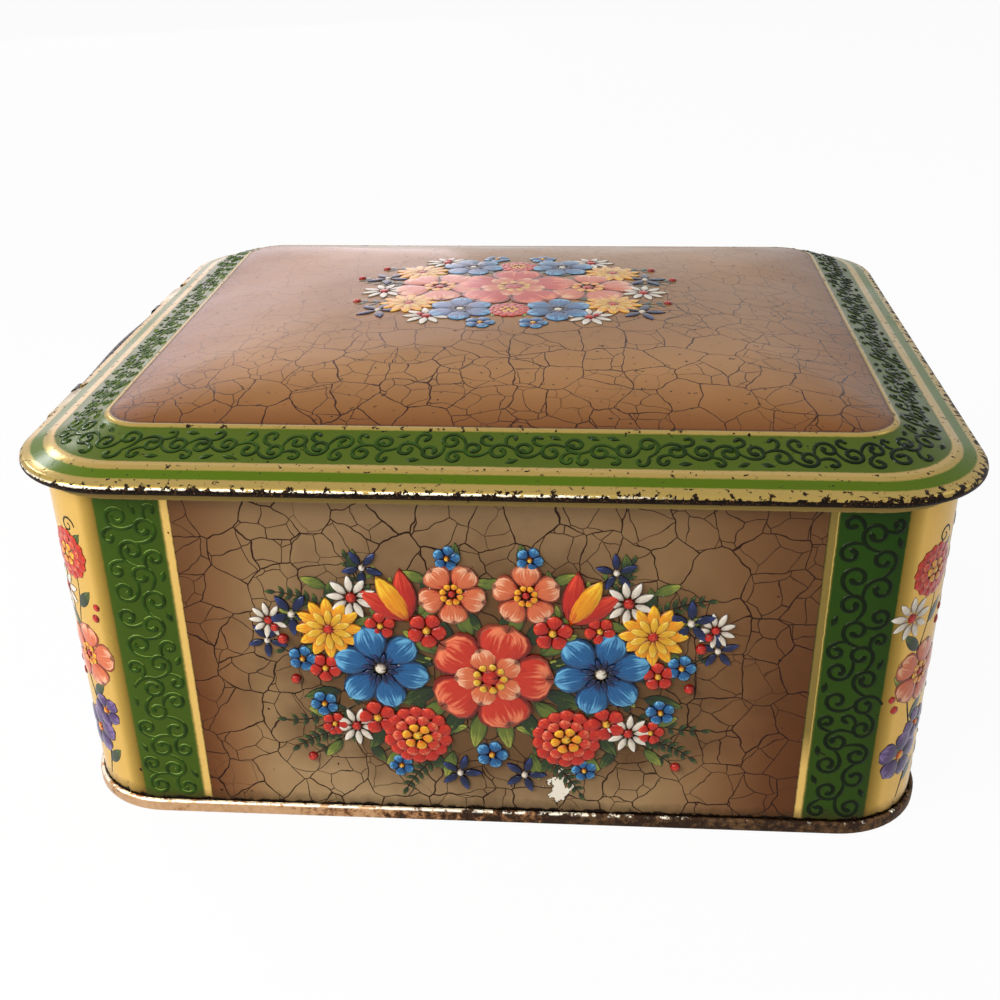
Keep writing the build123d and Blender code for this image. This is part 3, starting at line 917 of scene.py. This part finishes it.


# The dark green is the lines' ink; the lighter and the black green are painted light and shade on their sides
line_inks = [pressed_ink(name, base, bright) for name, base, bright in (
    ("dark_green_litho_ink", "1E3408", "34500E"), ("painted_lit_green_ink", "4A6420", "7E9440"),
    ("painted_shade_green_ink", "080F04", "121E08"))]
band_wide = (scroll_band - corner_band) / mm
scroll_foot = seam_top + 0.2
band_tall = print_top / mm - scroll_foot
side_middles, corner_middles = [[sum(wall_lengths[:part]) + wall_lengths[part] / 2
                                 for part in range(first, 8, 2)] for first in (0, 1)]
wall_scrolls = []
for side, seed in ((-1, 5), (1, 12)):
    lines, swell = scroll_lines(band_tall, band_wide, False, seed, largest=3.4, smallest=1.75, gap=0.92)
    for middle, shift in zip(corner_middles, (1, 0, -1, 0) if side < 0 else (0, -1, 0, 1)):
        start = middle + side * corner_band / mm + shift * print_shift / mm
        strip = shaded(pressed_lines(lines, swell, line_inks[0]), *line_inks[1:], 0)
        wall_scrolls.append(wrapped(strip, lambda up, across, lift: on_wall(
            start + side * across, scroll_foot + up, lift)))
finished(joined(wall_scrolls, "wall_scrollwork"), "wall_scrollwork", "box")

border_repeats = 6
repeat_length = sum(band_lengths) / border_repeats
border_wide = round(scroll_edges[1] - scroll_edges[0], 2)
lines, swell = scroll_lines(repeat_length, border_wide, True, 21, largest=2.7, smallest=1.45, gap=0.85)
border_scrolls = []
for k in range(border_repeats):
    strip = pressed_lines(lines, swell, line_inks[0], width=0.95, height=0.3)
    border_scrolls.append(wrapped(shaded(strip, *line_inks[1:], 1), lambda along, across, lift: on_border(
        k * repeat_length + along, scroll_edges[0] + across, lift)))
finished(joined(border_scrolls, "lid_scrollwork"), "lid_scrollwork", "cover")


# Flower sprays: plain garden motifs pressed up in low relief and printed in bright inks. One is on each wall and
# one on the lid, each the same to left and right, and a sprig climbs each corner. Every petal is shaded from its
# heart to its tip.
skirt = 0.12
bud_sides = 12

petal_tree, add, given = node_group("ring_of_petals", (
    ("Petals", "Int"), ("Seat", "Float"), ("Size", "Float"), ("First Turn", "Float"), ("Raise", "Float"),
    ("Variation", "Float"), ("Seed", "Int"), ("Finish", "Material")))
seats = add("GeometryNodeMeshCircle", given["Petals"], given["Seat"])
part_turn = add("Math DIVIDE", 2 * math.pi, given["Petals"])
turn = add("Math MULTIPLY_ADD", add("GeometryNodeInputIndex"), part_turn, -math.pi / 2)
draw = add("FunctionNodeRandomValue FLOAT", -0.5, 0.5, Seed=given["Seed"])
sway = add("Math MULTIPLY_ADD", draw, given["Variation"], turn)
growth = add("Math MULTIPLY", add("Math MULTIPLY_ADD", draw, given["Variation"], 1.0), given["Size"])
ring = add("GeometryNodeInstanceOnPoints", seats, Instance=given["Geometry"], Scale=growth,
           Rotation=add("CombineXYZ", 0.0, 0.0, sway))
ring = add("GeometryNodeRealizeInstances", ring)
ring = add("GeometryNodeTransform", ring, Translation=add("CombineXYZ", 0.0, 0.0, given["Raise"]),
           Rotation=add("CombineXYZ", 0.0, 0.0, given["First Turn"]))
ring = add("GeometryNodeSetMaterial", ring, Material=given["Finish"])
add("NodeGroupOutput", ring)


def petal_mesh(points, faces, places):
    """A petal's mesh from points in mm, with each point's place on the petal: along it, and across it."""
    mesh = plain_mesh("petal", points, faces)
    mesh.uv_layers.new(name="petal_place").data.foreach_set(
        "uv", [c for loop in mesh.loops for c in places[loop.vertex_index]])
    return mesh


def petal(length, width, fullness, roundness, notch, crown, crease=0.0, rows=7, columns=6):
    """One petal or leaf lying along +Y from the origin, in mm: fullness moves its widest part towards the tip,
    roundness blunts its ends, notch cuts its tip, crown raises it and crease folds its middle."""
    points, faces, places = [], [], []
    for layer in (0, 1):
        for i in range(rows + 1):
            u = i / rows
            half = width / 2 * math.sin(math.pi * min(u, 0.9995) ** fullness) ** roundness
            for j in range(columns + 1):
                v = 2 * j / columns - 1
                y = length * u * (1 - notch * (1 - abs(v) ** 1.5) * u ** 6)
                up = crown * (1 - v * v) ** 0.7 * math.sin(math.pi * u) ** 0.45 if 0 < i < rows else 0.0
                up -= crease * math.exp(-(v / 0.22) ** 2) * math.sin(math.pi * u)
                points.append((v * half, y, max(up, 0.0) if layer else -skirt))
                places.append((u, (v + 1) / 2))
    line = columns + 1
    top = line * (rows + 1)
    for i in range(rows):
        for j in range(columns):
            a = top + i * line + j
            faces.append((a, a + 1, a + line + 1, a + line))
    rim = [j for j in range(columns)] + [i * line + columns for i in range(rows)]
    rim += [rows * line + j for j in range(columns, 0, -1)] + [i * line for i in range(rows, 0, -1)]
    faces += [(rim[k], rim[(k + 1) % len(rim)], top + rim[(k + 1) % len(rim)], top + rim[k])
              for k in range(len(rim))]
    faces.append(tuple(rim[::-1]))
    return petal_mesh(points, faces, places)


def bead_bud(radius, crown):
    """A round raised bud or flower heart, in mm."""
    points, places = [], []
    rings = ((1.0, -skirt), (1.0, 0.0), (0.82, 0.6 * crown), (0.5, 0.9 * crown), (0.18, crown))
    for share, up in rings:
        for k in range(bud_sides):
            angle = 2 * math.pi * k / bud_sides
            points.append((radius * share * math.cos(angle), radius * share * math.sin(angle), up))
            places.append((1 - share, k / bud_sides))
    return petal_mesh(points, ring_faces(len(rings), bud_sides), places)


def petal_ink(name, heart, middle, tip, outline):
    """Litho inks on a petal: heart, middle and tip colours run together in fine strokes, inside a drawn edge,
    rubbed to the pale ground in specks. The varnish is clear and hard, so the pressed crests shine."""
    material, add, where = tin_material(name)
    place = add("UVMap", uv_map="petal_place")
    parts = add("SeparateXYZ", place).node.outputs
    strokes = add("TexNoise", add("VectorMath MULTIPLY", place, (1.6, 13.0, 1.0)), Scale=1.0, Detail=3.0)
    dabs = add("TexNoise", where, Scale=420.0, Detail=2.0)
    run = add("Math MULTIPLY_ADD", strokes, 0.85, add("Math MULTIPLY", parts[0], 0.5))
    run = add("Math MULTIPLY_ADD", dabs, 0.15, run)
    colour = add("ValToRGB", run, stops=[(0.54, heart), (0.66, middle), (0.82, middle), (0.96, tip)])
    off_middle = add("Math ABSOLUTE", add("Math SUBTRACT", parts[1], 0.5))
    edge = add("Math MAXIMUM", add("MapRange", off_middle, 0.405, 0.455), add("MapRange", parts[0], 0.925, 0.97))
    rub = add("MapRange", add("TexNoise", where, Scale=900.0, Detail=3.0), 0.77, 0.81)
    colour = overlaid(add, colour, [(add("Math MULTIPLY", edge, 0.8), outline), (rub, "E9E0CE")])
    surfaced(add, add("Math MULTIPLY", strokes, 0.00004), Base_Color=colour,
             Roughness=add("MapRange", dabs, 0.3, 0.7, 0.12, 0.24), Specular_IOR_Level=0.25, Coat_Weight=0.08,
             Coat_Roughness=0.06)
    return material


inks = {name: petal_ink(name + "_litho_ink", *colours) for name, colours in {
    "coral": ("8A1006", "BA2E1A", "E07850", "4E0A04"),
    "scarlet": ("7A0E06", "AE2010", "CE4024", "4A0804"),
    "amber": ("B42A08", "D8880E", "ECBE2C", "6E2808"),
    "peach": ("A42410", "C8643C", "E2A882", "6A1E0C"),
    "sky": ("081C42", "1A5484", "62A4C8", "061430"),
    "navy": ("060A22", "121C40", "303E74", "030414"),
    "white": ("988678", "D0C4B2", "ECE4D6", "3E362C"),
    "plum": ("28183A", "4C3264", "806894", "1A0E24"),
    "leaf": ("0E180A", "1E300E", "566422", "0A1006"),
    "pale_leaf": ("263410", "5A6622", "989A3C", "182008"),
    "straw": ("9C4A16", "D09A1E", "E8C858", "5A360C")}.items()}


def ring_of(shape, count, seat, size, ink_name, raised=0.0, first_turn=0.0, seed=1):
    """One ring of petals as a flat mesh, each of them a little off its size and turn. Lengths are in mm."""
    return formed(placed("petal", shape), petal_tree, {
        "Petals": count, "Seat": seat * mm, "Size": size, "First Turn": first_turn, "Raise": raised * mm,
        "Variation": 0.08, "Seed": seed, "Finish": inks[ink_name]})


def single(shape, ink_name):
    """One petal, leaf or bud on its own, in its ink."""
    shape = shape.copy()
    shape.materials.append(inks[ink_name])
    return shape


heart_petal = petal(10.0, 10.5, 1.5, 0.55, 0.16, 0.75, 0.25)
long_petal = petal(10.0, 4.6, 1.1, 0.75, 0.0, 0.7, 0.15)
round_petal = petal(3.0, 3.0, 1.4, 0.5, 0.0, 0.5, 0.0, 5, 4)
leaf_shape = petal(9.0, 3.6, 0.85, 0.85, 0.0, 0.5, 0.28)
small_leaf = petal(4.2, 1.8, 0.9, 0.8, 0.0, 0.35, 0.12, 5, 4)
bud_shape, heart_shape = bead_bud(1.25, 0.75), bead_bud(2.1, 1.05)

# Each motif is a list of flat meshes that lie one over the other
motifs = {
    "rose": [ring_of(heart_petal, 5, 2.2, 1.12, "coral"),
             ring_of(heart_petal, 5, 1.2, 0.62, "peach", 0.45, 0.63, seed=2),
             ring_of(round_petal, 9, 1.9, 0.6, "straw", 0.85), single(heart_shape, "scarlet")],
    "wild_rose": [ring_of(heart_petal, 5, 1.8, 0.86, "peach", seed=3),
                  ring_of(round_petal, 8, 1.5, 0.75, "amber", 0.5), single(bud_shape, "scarlet")],
    "anemone": [ring_of(petal(10.0, 8.2, 1.35, 0.6, 0.0, 0.7, 0.2), 6, 1.6, 0.86, "sky", seed=4),
                ring_of(small_leaf, 12, 1.3, 0.62, "navy", 0.5), single(bud_shape, "white")],
    "marigold": [ring_of(long_petal, 12, 1.2, 0.62, "amber", seed=5),
                 ring_of(long_petal, 10, 0.8, 0.42, "straw", 0.35, 0.3), single(bud_shape, "scarlet")],
    "zinnia": [ring_of(round_petal, 14, 4.0, 1.15, "scarlet", seed=6),
               ring_of(round_petal, 10, 2.4, 1.0, "coral", 0.35, 0.2),
               ring_of(round_petal, 6, 1.0, 0.8, "amber", 0.7), single(bud_shape, "straw")],
    "daisy": [ring_of(small_leaf, 9, 1.0, 0.85, "white", seed=7), single(bead_bud(1.0, 0.6), "scarlet")],
    "forget_me_not": [ring_of(round_petal, 5, 0.5, 0.85, "sky", seed=8), single(bead_bud(0.6, 0.75), "straw")],
    "pink": [ring_of(round_petal, 5, 0.6, 1.1, "scarlet", seed=11), single(bead_bud(0.85, 0.75), "straw")],
    "violet": [ring_of(round_petal, 5, 0.7, 1.25, "plum", seed=9), single(bead_bud(0.8, 0.75), "amber")],
    "star": [ring_of(small_leaf, 5, 0.6, 0.95, "navy", seed=10), single(bead_bud(0.75, 0.6), "white")],
    "tulip": [],
    "berry": [single(bead_bud(1.15, 0.8), "scarlet")],
    "leaf": [single(leaf_shape, "leaf")],
    "pale_leaf": [single(leaf_shape, "pale_leaf")],
    "leaflet": [single(small_leaf, "leaf")],
    "pale_leaflet": [single(small_leaf, "pale_leaf")],
}
tulip_side = petal(13.0, 5.4, 0.95, 0.8, 0.0, 0.6, 0.1)
for lean, ink_name, raised in ((0.42, "scarlet", 0.0), (-0.42, "scarlet", 0.0), (0.0, "amber", 0.3)):
    shape = single(tulip_side, ink_name)
    shape.transform(Matrix.Translation((0, 0, raised * mm)) @ Matrix.Rotation(lean, 4, "Z"))
    motifs["tulip"].append(shape)


stem_ink = pressed_ink("brown_stem_litho_ink", "1E1A0C", "3A3414")


def spray_mesh(rows, stems):
    """One flat mesh from (motif, x, y, turn, size) rows in mm and radians, over stems drawn as lines."""
    points, faces, places, finishes, materials = [], [], [], [], []
    base = 0

    def take(mesh, matrix, lift=0.0):
        nonlocal base
        co = np.empty(len(mesh.vertices) * 3)
        mesh.vertices.foreach_get("co", co)
        co = co.reshape(-1, 3)
        moved = np.c_[co, np.ones(len(co))] @ np.array(matrix).T
        moved[:, 2] += lift * (co[:, 2] > -skirt / 2 * mm)
        points.extend(moved[:, :3].tolist())
        layer = mesh.uv_layers.get("petal_place")
        for face in mesh.polygons:
            faces.append([base + v for v in face.vertices])
            finish = mesh.materials[face.material_index]
            if finish not in materials:
                materials.append(finish)
            finishes.append(materials.index(finish))
            places.extend(layer.data[loop].uv[:] if layer else (0.5, 0.5) for loop in face.loop_indices)
        base += len(mesh.vertices)

    swell = [np.interp(np.linspace(0, 1, len(line)), [0, 0.1, 1], [0.6, 1.0, 0.45]) for line in stems]
    take(pressed_lines(stems, swell, stem_ink, width=0.6, height=0.22, sides=6), Matrix.Identity(4))
    # Leaves are pressed flatter than flowers and lie under them, so that none cuts through a petal
    for order, (motif, x, y, turn, size) in enumerate(rows):
        flatness, lift = (0.5, 0.0) if "leaf" in motif else (0.9, 0.4 if motif in ("rose", "anemone") else 0.26)
        matrix = (Matrix.Translation((x * mm, y * mm, 0)) @ Matrix.Rotation(turn, 4, "Z")
                  @ Matrix.Diagonal((size, size, flatness * min(size, 1.0), 1)))
        for mesh in motifs[motif]:
            take(mesh, matrix, (0.0006 * order + lift) * mm)
    mesh = plain_mesh("spray", points, faces, unit=1)
    for finish in materials:
        mesh.materials.append(finish)
    mesh.polygons.foreach_set("material_index", finishes)
    mesh.uv_layers.new(name="petal_place").data.foreach_set("uv", [c for place in places for c in place])
    return mesh


def sprig(x, y, heading, length, bend, pairs, end=None, leaf="leaflet", size=1.0):
    """A bent stem with leaves in pairs: the rows for its leaves and its end motif, and its line."""
    rows, line = [], []
    steps = 14
    for k in range(steps + 1):
        way = heading + bend * k / steps
        line.append((x, y))
        if k and k % max(1, steps // pairs) == 0 and k < steps:
            fade = size * (1.05 - 0.45 * k / steps)
            rows += [(leaf, x, y, way - math.pi / 2 + side * 0.85, fade) for side in (-1, 1)]
        if k == steps:
            rows.append((end or leaf, x, y, way - math.pi / 2, size * 0.8 if end is None else 1.0))
        x += length / steps * math.cos(way)
        y += length / steps * math.sin(way)
    return rows, line


def grown(routes):
    """The rows and lines of several sprigs."""
    rows, lines = [], []
    for route in routes:
        more, line = sprig(*route)
        rows += more
        lines.append(line)
    return rows, lines


def leaf_fan(leaf, angles, reach, size, middle=(0, 0)):
    """Leaves that point out round a middle, every other one pale."""
    return [(leaf if k % 2 else "pale_" + leaf, middle[0] + reach[0] * math.cos(angle),
             middle[1] + reach[1] * math.sin(angle), angle - math.pi / 2, size) for k, angle in enumerate(angles)]


def mirrored(rows, lines):
    """The rows and lines with their mirror image in the spray's middle."""
    twins = [(motif, -x, y, -turn, size) for motif, x, y, turn, size in rows]
    both = [row for pair in zip(rows, twins) for row in pair]
    return both, lines + [[(-x, y) for x, y in line] for line in lines]


def front_spray():
    """The walls' spray: a rose between two anemones on an arch of leaves, with tulips leaning out."""
    rows, lines = grown([
        (20, -2, 0.1, 32, 0.55, 6, "star"), (16, -8, -0.35, 30, -0.35, 5, "berry"),
        (8, -14, -0.9, 17, 0.5, 4, "forget_me_not"), (18, 8, 0.5, 32, -0.65, 5, "daisy"),
        (12, 12, 0.9, 22, -0.2, 4, "star", "pale_leaflet"), (5, 14, 1.25, 17, 0.2, 4, "forget_me_not"),
        (22, -10, -0.75, 16, 0.9, 3, "berry", "pale_leaflet"),
        *[(*fern, 7, None, "leaflet", 0.75) for fern in (
            (31, -8, -0.55, 17, 0.6), (35, 16, 0.75, 13, -0.7), (25, 18, 1.0, 13, 0.3), (12, -21, -0.7, 13, -0.4),
            (33, -15, -0.1, 13, -0.6))]])
    rows += leaf_fan("leaf", [math.radians(-80 + 19 * k) for k in range(9)], (13, 10), 1.15, (0, 1))
    rows += [("leaf", 29, 10, -0.9, 1.05), ("leaf", 34, -4, -1.8, 1.0), ("pale_leaf", 24, 14, -0.2, 0.9),
             ("leaf", 24, -13, -2.6, 0.95), ("leaf", 14, 21, 0.2, 0.8), ("pale_leaf", 9, -20, -2.9, 0.9)]
    for middle in ((24.5, 2.5), (35.5, 12.5), (17, -15.5), (30, 20.5), (31, -13.5), (8, 22.5)):
        rows += leaf_fan("leaflet", [1.257 * k + 0.4 for k in range(5)], (5.6, 5.6), 1.5, middle)
    rows += [("pink", 13.8, 12.6, 0.2, 1.15), ("pink", 26, -11, 0.7, 1.15), ("pink", 37, 2.2, 0.4, 0.95),
             ("pink", 36, -13, 0.1, 0.8), ("pink", 24, 13.5, 0.9, 0.9)]
    rows += [("tulip", 17.5, 15, -0.55, 1.0), ("marigold", 35.5, 12.5, 0.0, 1.05), ("zinnia", 17, -15.5, 0.2, 1.08),
             ("daisy", 30, 20.5, 0.4, 1.25), ("daisy", 31, -13.5, 0.1, 1.15), ("forget_me_not", 42, 4.5, 0.0, 1.1),
             ("forget_me_not", 38, -7.5, 0.5, 1.1), ("star", 43.5, 16, 0.3, 1.2), ("star", 7.5, -26, 0.0, 1.1),
             ("berry", 46, 9.5, 0, 1.1), ("berry", 44, -1, 0, 1.0), ("berry", 47.5, 12.5, 0, 0.9),
             ("wild_rose", 8.0, 22.0, 0.3, 0.72), ("anemone", 24.5, 2.5, 0.25, 1.08)]
    rows, lines = mirrored(rows, lines)
    return rows + [("forget_me_not", 0, -20.5, 0, 1.25), ("rose", 0, 1, 0.0, 1.08)], lines


def lid_spray():
    """The lid's spray: a rose in an oval wreath of smaller flowers."""
    rows, lines = grown([(*route, 5, "berry", "leaflet", 1.25) for route in (
        (10, -12, -0.9, 24, 0.9), (26, -10, -0.35, 30, 0.7), (34, 2, 0.1, 26, 0.5), (24, 12, 0.5, 28, -0.5),
        (8, 14, 0.9, 24, -0.7))])
    rows += leaf_fan("leaf", [math.radians(-81 + 18 * k) for k in range(10)], (20, 14), 1.35)
    rows += [("wild_rose", 27, 0, 0.2, 1.3), ("anemone", 17, -19, 0.5, 0.95), ("anemone", 17, 19, 0.2, 0.95),
             ("marigold", 36, -14, 0.0, 1.15), ("marigold", 36, 14, 0.3, 1.15), ("daisy", 47, -3, 0.1, 1.5),
             ("daisy", 28, -24, 0.3, 1.5), ("daisy", 28, 25, 0.0, 1.5), ("star", 48, 9, 0.3, 1.4),
             ("star", 46, -19, 0.1, 1.4), ("forget_me_not", 9, -29, 0.0, 1.4), ("forget_me_not", 9, 29, 0.3, 1.4)]
    rows = [(motif, 0.8 * x, 1.12 * y, turn, size) for motif, x, y, turn, size in rows]
    lines = [[(0.8 * x, 1.12 * y) for x, y in line] for line in lines]
    rows, lines = mirrored(rows, lines)
    return rows + [("zinnia", 0, -22, 0, 0.8), ("zinnia", 0, 22, 0, 0.8), ("rose", 0, 0, 0.3, 1.35)], lines


def corner_sprig():
    """A climbing stem with leaves to either side, violets low down, a wild rose above them and a red head on top."""
    sway, waves, foot, height, steps = 2.2, 1.5, 6, 66, 32
    line = [(sway * math.sin(2 * math.pi * k / steps * waves), foot + height * k / steps) for k in range(steps + 1)]
    rows = []
    for k, side, motif in ((2, 1, "leaf"), (5, -1, "leaf"), (11, 1, "leaf"), (15, -1, "pale_leaf"), (20, -1, "leaf"),
                           (23, 1, "leaf"), (28, -1, "pale_leaf"), (30, 1, "leaf")):
        x, y = line[k]
        rows.append((motif, x, y, -side * 0.75, 0.8))
    rows += [("violet", -1.2, 19, 0.2, 1.5), ("violet", 3.6, 26, 0.7, 1.05), ("wild_rose", 1.2, 41, 0.1, 0.8),
             ("berry", -5.5, 33, 0, 0.9), ("berry", -6.6, 36, 0, 0.8), ("berry", 6.4, 52, 0, 0.9),
             ("berry", 7.2, 55, 0, 0.8), ("daisy", -4.6, 56.5, 0.2, 1.2), ("zinnia", 0.4, 67, 0.0, 0.86)]
    curl_at, curl_size, curl_turn = (2.6, 74.5), 2.3, 0.42
    curl = [(curl_at[0] + curl_size * (1 - k / 22) * math.cos(curl_turn * k),
             curl_at[1] + curl_size * (1 - k / 22) * math.sin(curl_turn * k)) for k in range(20)]
    return rows, [line, curl]


def on_dome(x, y, lift):
    """A point on the lid's dome, from its x and y in mm. The relief flattens towards the dome's top, where the
    flowers are pressed up no higher than dome_top."""
    low, high = 0.0, 1.0
    for _ in range(18):
        share = (low + high) / 2
        half, corner = dome_outline(share)
        qx, qy = abs(x) - half[0] + corner, abs(y) - half[1] + corner
        if math.hypot(max(qx, 0), max(qy, 0)) + min(max(qx, qy), 0) > corner:
            low = share
        else:
            high = share
    surface = border_top[1] + dome_rise * (1 - low ** dome_power)
    room = dome_top - surface
    return x * mm, y * mm, (surface + room * (1 - math.exp(-0.7 * lift / room))) * mm


dome_top = 101.95
corner_relief = 0.4
spray_up = 40.0
lid_spray_size, lid_spray_back = 0.9, 5.0
rows, lines = front_spray()
for name, middle, size in zip(("front_spray", "right_spray", "back_spray", "left_spray"), side_middles,
                              (1.0, 0.84, 1.0, 0.84)):
    spray = wrapped(spray_mesh(rows, lines), lambda x, y, lift: on_wall(
        middle + size * x, spray_up + size * y, lift))
    finished(spray, name, "box", sharp=60)

rows, lines = lid_spray()
spray = wrapped(spray_mesh(rows, lines), lambda x, y, lift: on_dome(
    lid_spray_size * x, lid_spray_size * y + lid_spray_back, lift))
finished(spray, "lid_spray", "cover", sharp=60)

rows, lines = corner_sprig()
sprigs = [wrapped(spray_mesh(rows, lines), lambda x, y, lift: on_wall(
    middle + x, y, corner_relief * lift)) for middle in corner_middles]
finished(joined(sprigs, "corner_sprigs"), "corner_sprigs", "box", sharp=60)


# Hinge: two tabs of the lid's own sheet rolled round a black steel wire outside the left wall. The wire's
# ends turn in through the wall, and two thin steel eyes beside the tabs hold it to the wall.
hinge_line = (-106.28852045995322, 85.40319804011177)
wire_bore = 1.05
tab_root_inset, tab_wrap = 3.6, 290


def tab_section():
    """The tab's middle line as (x, z): straight off the border, then most of a turn round the wire."""
    root = (tab_root_inset - lid_half[0], border_height(tab_root_inset) - border_drop / 2)
    radius = wire_bore + sheet / 2
    away = (root[0] - hinge_line[0], root[1] - hinge_line[1])
    touch = math.atan2(away[1], away[0]) + math.acos(radius / math.hypot(*away))
    line = [Vector(root)]
    for k in range(25):
        angle = touch + math.radians(tab_wrap) * k / 24
        line.append(Vector((hinge_line[0] + radius * math.cos(angle), hinge_line[1] + radius * math.sin(angle))))
    return thick_line(line, sheet)


def tab_mesh():
    section = tab_section()
    points, faces = [], []
    for middle in tab_middles:
        faces += ring_faces(4, len(section), len(points))
        for share, slim in ((-0.5, 0.75), (-0.49, 1.0), (0.49, 1.0), (0.5, 0.75)):
            for p, twin in zip(section, section[::-1]):
                inward = (twin - p) * (1 - slim) / 2
                points.append((p.x + inward.x, middle + tab_width * share, p.y + inward.y))
    return plain_mesh("hinge_tabs", points, faces)


def tab_finish():
    """The lid's gold lacquer carried on over its tabs, scuffed where the hinge turns."""
    material, add, where = tin_material("gold_lacquered_tinplate")
    stain = add("TexNoise", where, Scale=140.0, Detail=3.0)
    colour = add("ValToRGB", stain, stops=[(0.35, "C8AA72"), (0.7, "A5875C")])
    chips = add("MapRange", add("TexNoise", where, Scale=380.0, Detail=4.0), 0.6, 0.64)
    lacquered(add, colour, 0.4, chips, stain, 0.4)
    return material


def blackened_wire():
    """Steel wire with its black japan finish: soft gloss, dulled by dust and browned where it has rubbed."""
    material, add, where = tin_material("black_japanned_steel")
    rub = add("TexNoise", where, Scale=450.0, Detail=4.0)
    colour = add("ValToRGB", rub, stops=[(0.4, "0D0B0A"), (0.6, "1C1512"), (0.72, "4A3424")])
    surfaced(add, add("Math MULTIPLY", rub, 0.00003), Base_Color=colour, Metallic=0.3,
             Roughness=add("MapRange", rub, 0.3, 0.7, 0.3, 0.55))
    return material


# The wire's tree: a round section swept along a route whose corners are bent to a radius
wire_tree, add, given = node_group("bent_wire", (
    ("Radius", "Float"), ("Bend", "Float"), ("Bend Steps", "Int"), ("Sides", "Int"), ("Finish", "Material")))
route = add("GeometryNodeFilletCurve", given["Geometry"], mode="POLY", Radius=given["Bend"],
            Count=given["Bend Steps"], Limit_Radius=True)
round_section = add("GeometryNodeCurvePrimitiveCircle", given["Sides"], Radius=given["Radius"])
ended(add, add("GeometryNodeCurveToMesh", route, round_section, Fill_Caps=True), given["Finish"])

# Each end runs down through the wall and is clinched behind it. Between the eyes the wire has bowed outwards.
wire_radius = 1.0
wire_bend = 2.2
wire_end_y = 54.0
clinch_x, clinch_length = -98.3, 5.0
bow_half, bow_out, bow_up = 30.0, 0.45, 0.55
clinch_top = hinge_line[1] + hinge_line[0] - clinch_x
wire_end = [(clinch_x, wire_end_y, clinch_top - clinch_length), (clinch_x, wire_end_y, clinch_top),
            (hinge_line[0], wire_end_y, hinge_line[1])]
wire_route = list(wire_end)
for k in range(13):
    y = bow_half - k * bow_half / 6
    bow = math.cos(math.pi * y / bow_half / 2) ** 2
    wire_route.append((hinge_line[0] - bow_out * bow, y, hinge_line[1] + bow_up * bow))
wire_route += [(x, -y, z) for x, y, z in wire_end[::-1]]

tabs = tab_mesh()
tabs.materials.append(tab_finish())
finished(tabs, "hinge_tabs", "cover", "lid")
wire_black = blackened_wire()
for node in ("hinge_eye_near", "hinge_eye_far"):
    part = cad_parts[node]
    part.data.materials.clear()
    part.data.materials.append(wire_black)
wire_mesh = formed(curve_object("wire_route", [wire_route], False), wire_tree, {
    "Radius": wire_radius * mm, "Bend": wire_bend * mm, "Bend Steps": 6, "Sides": 20, "Finish": wire_black})
finished(wire_mesh, "hinge_wire", "box", "hinge_rod")
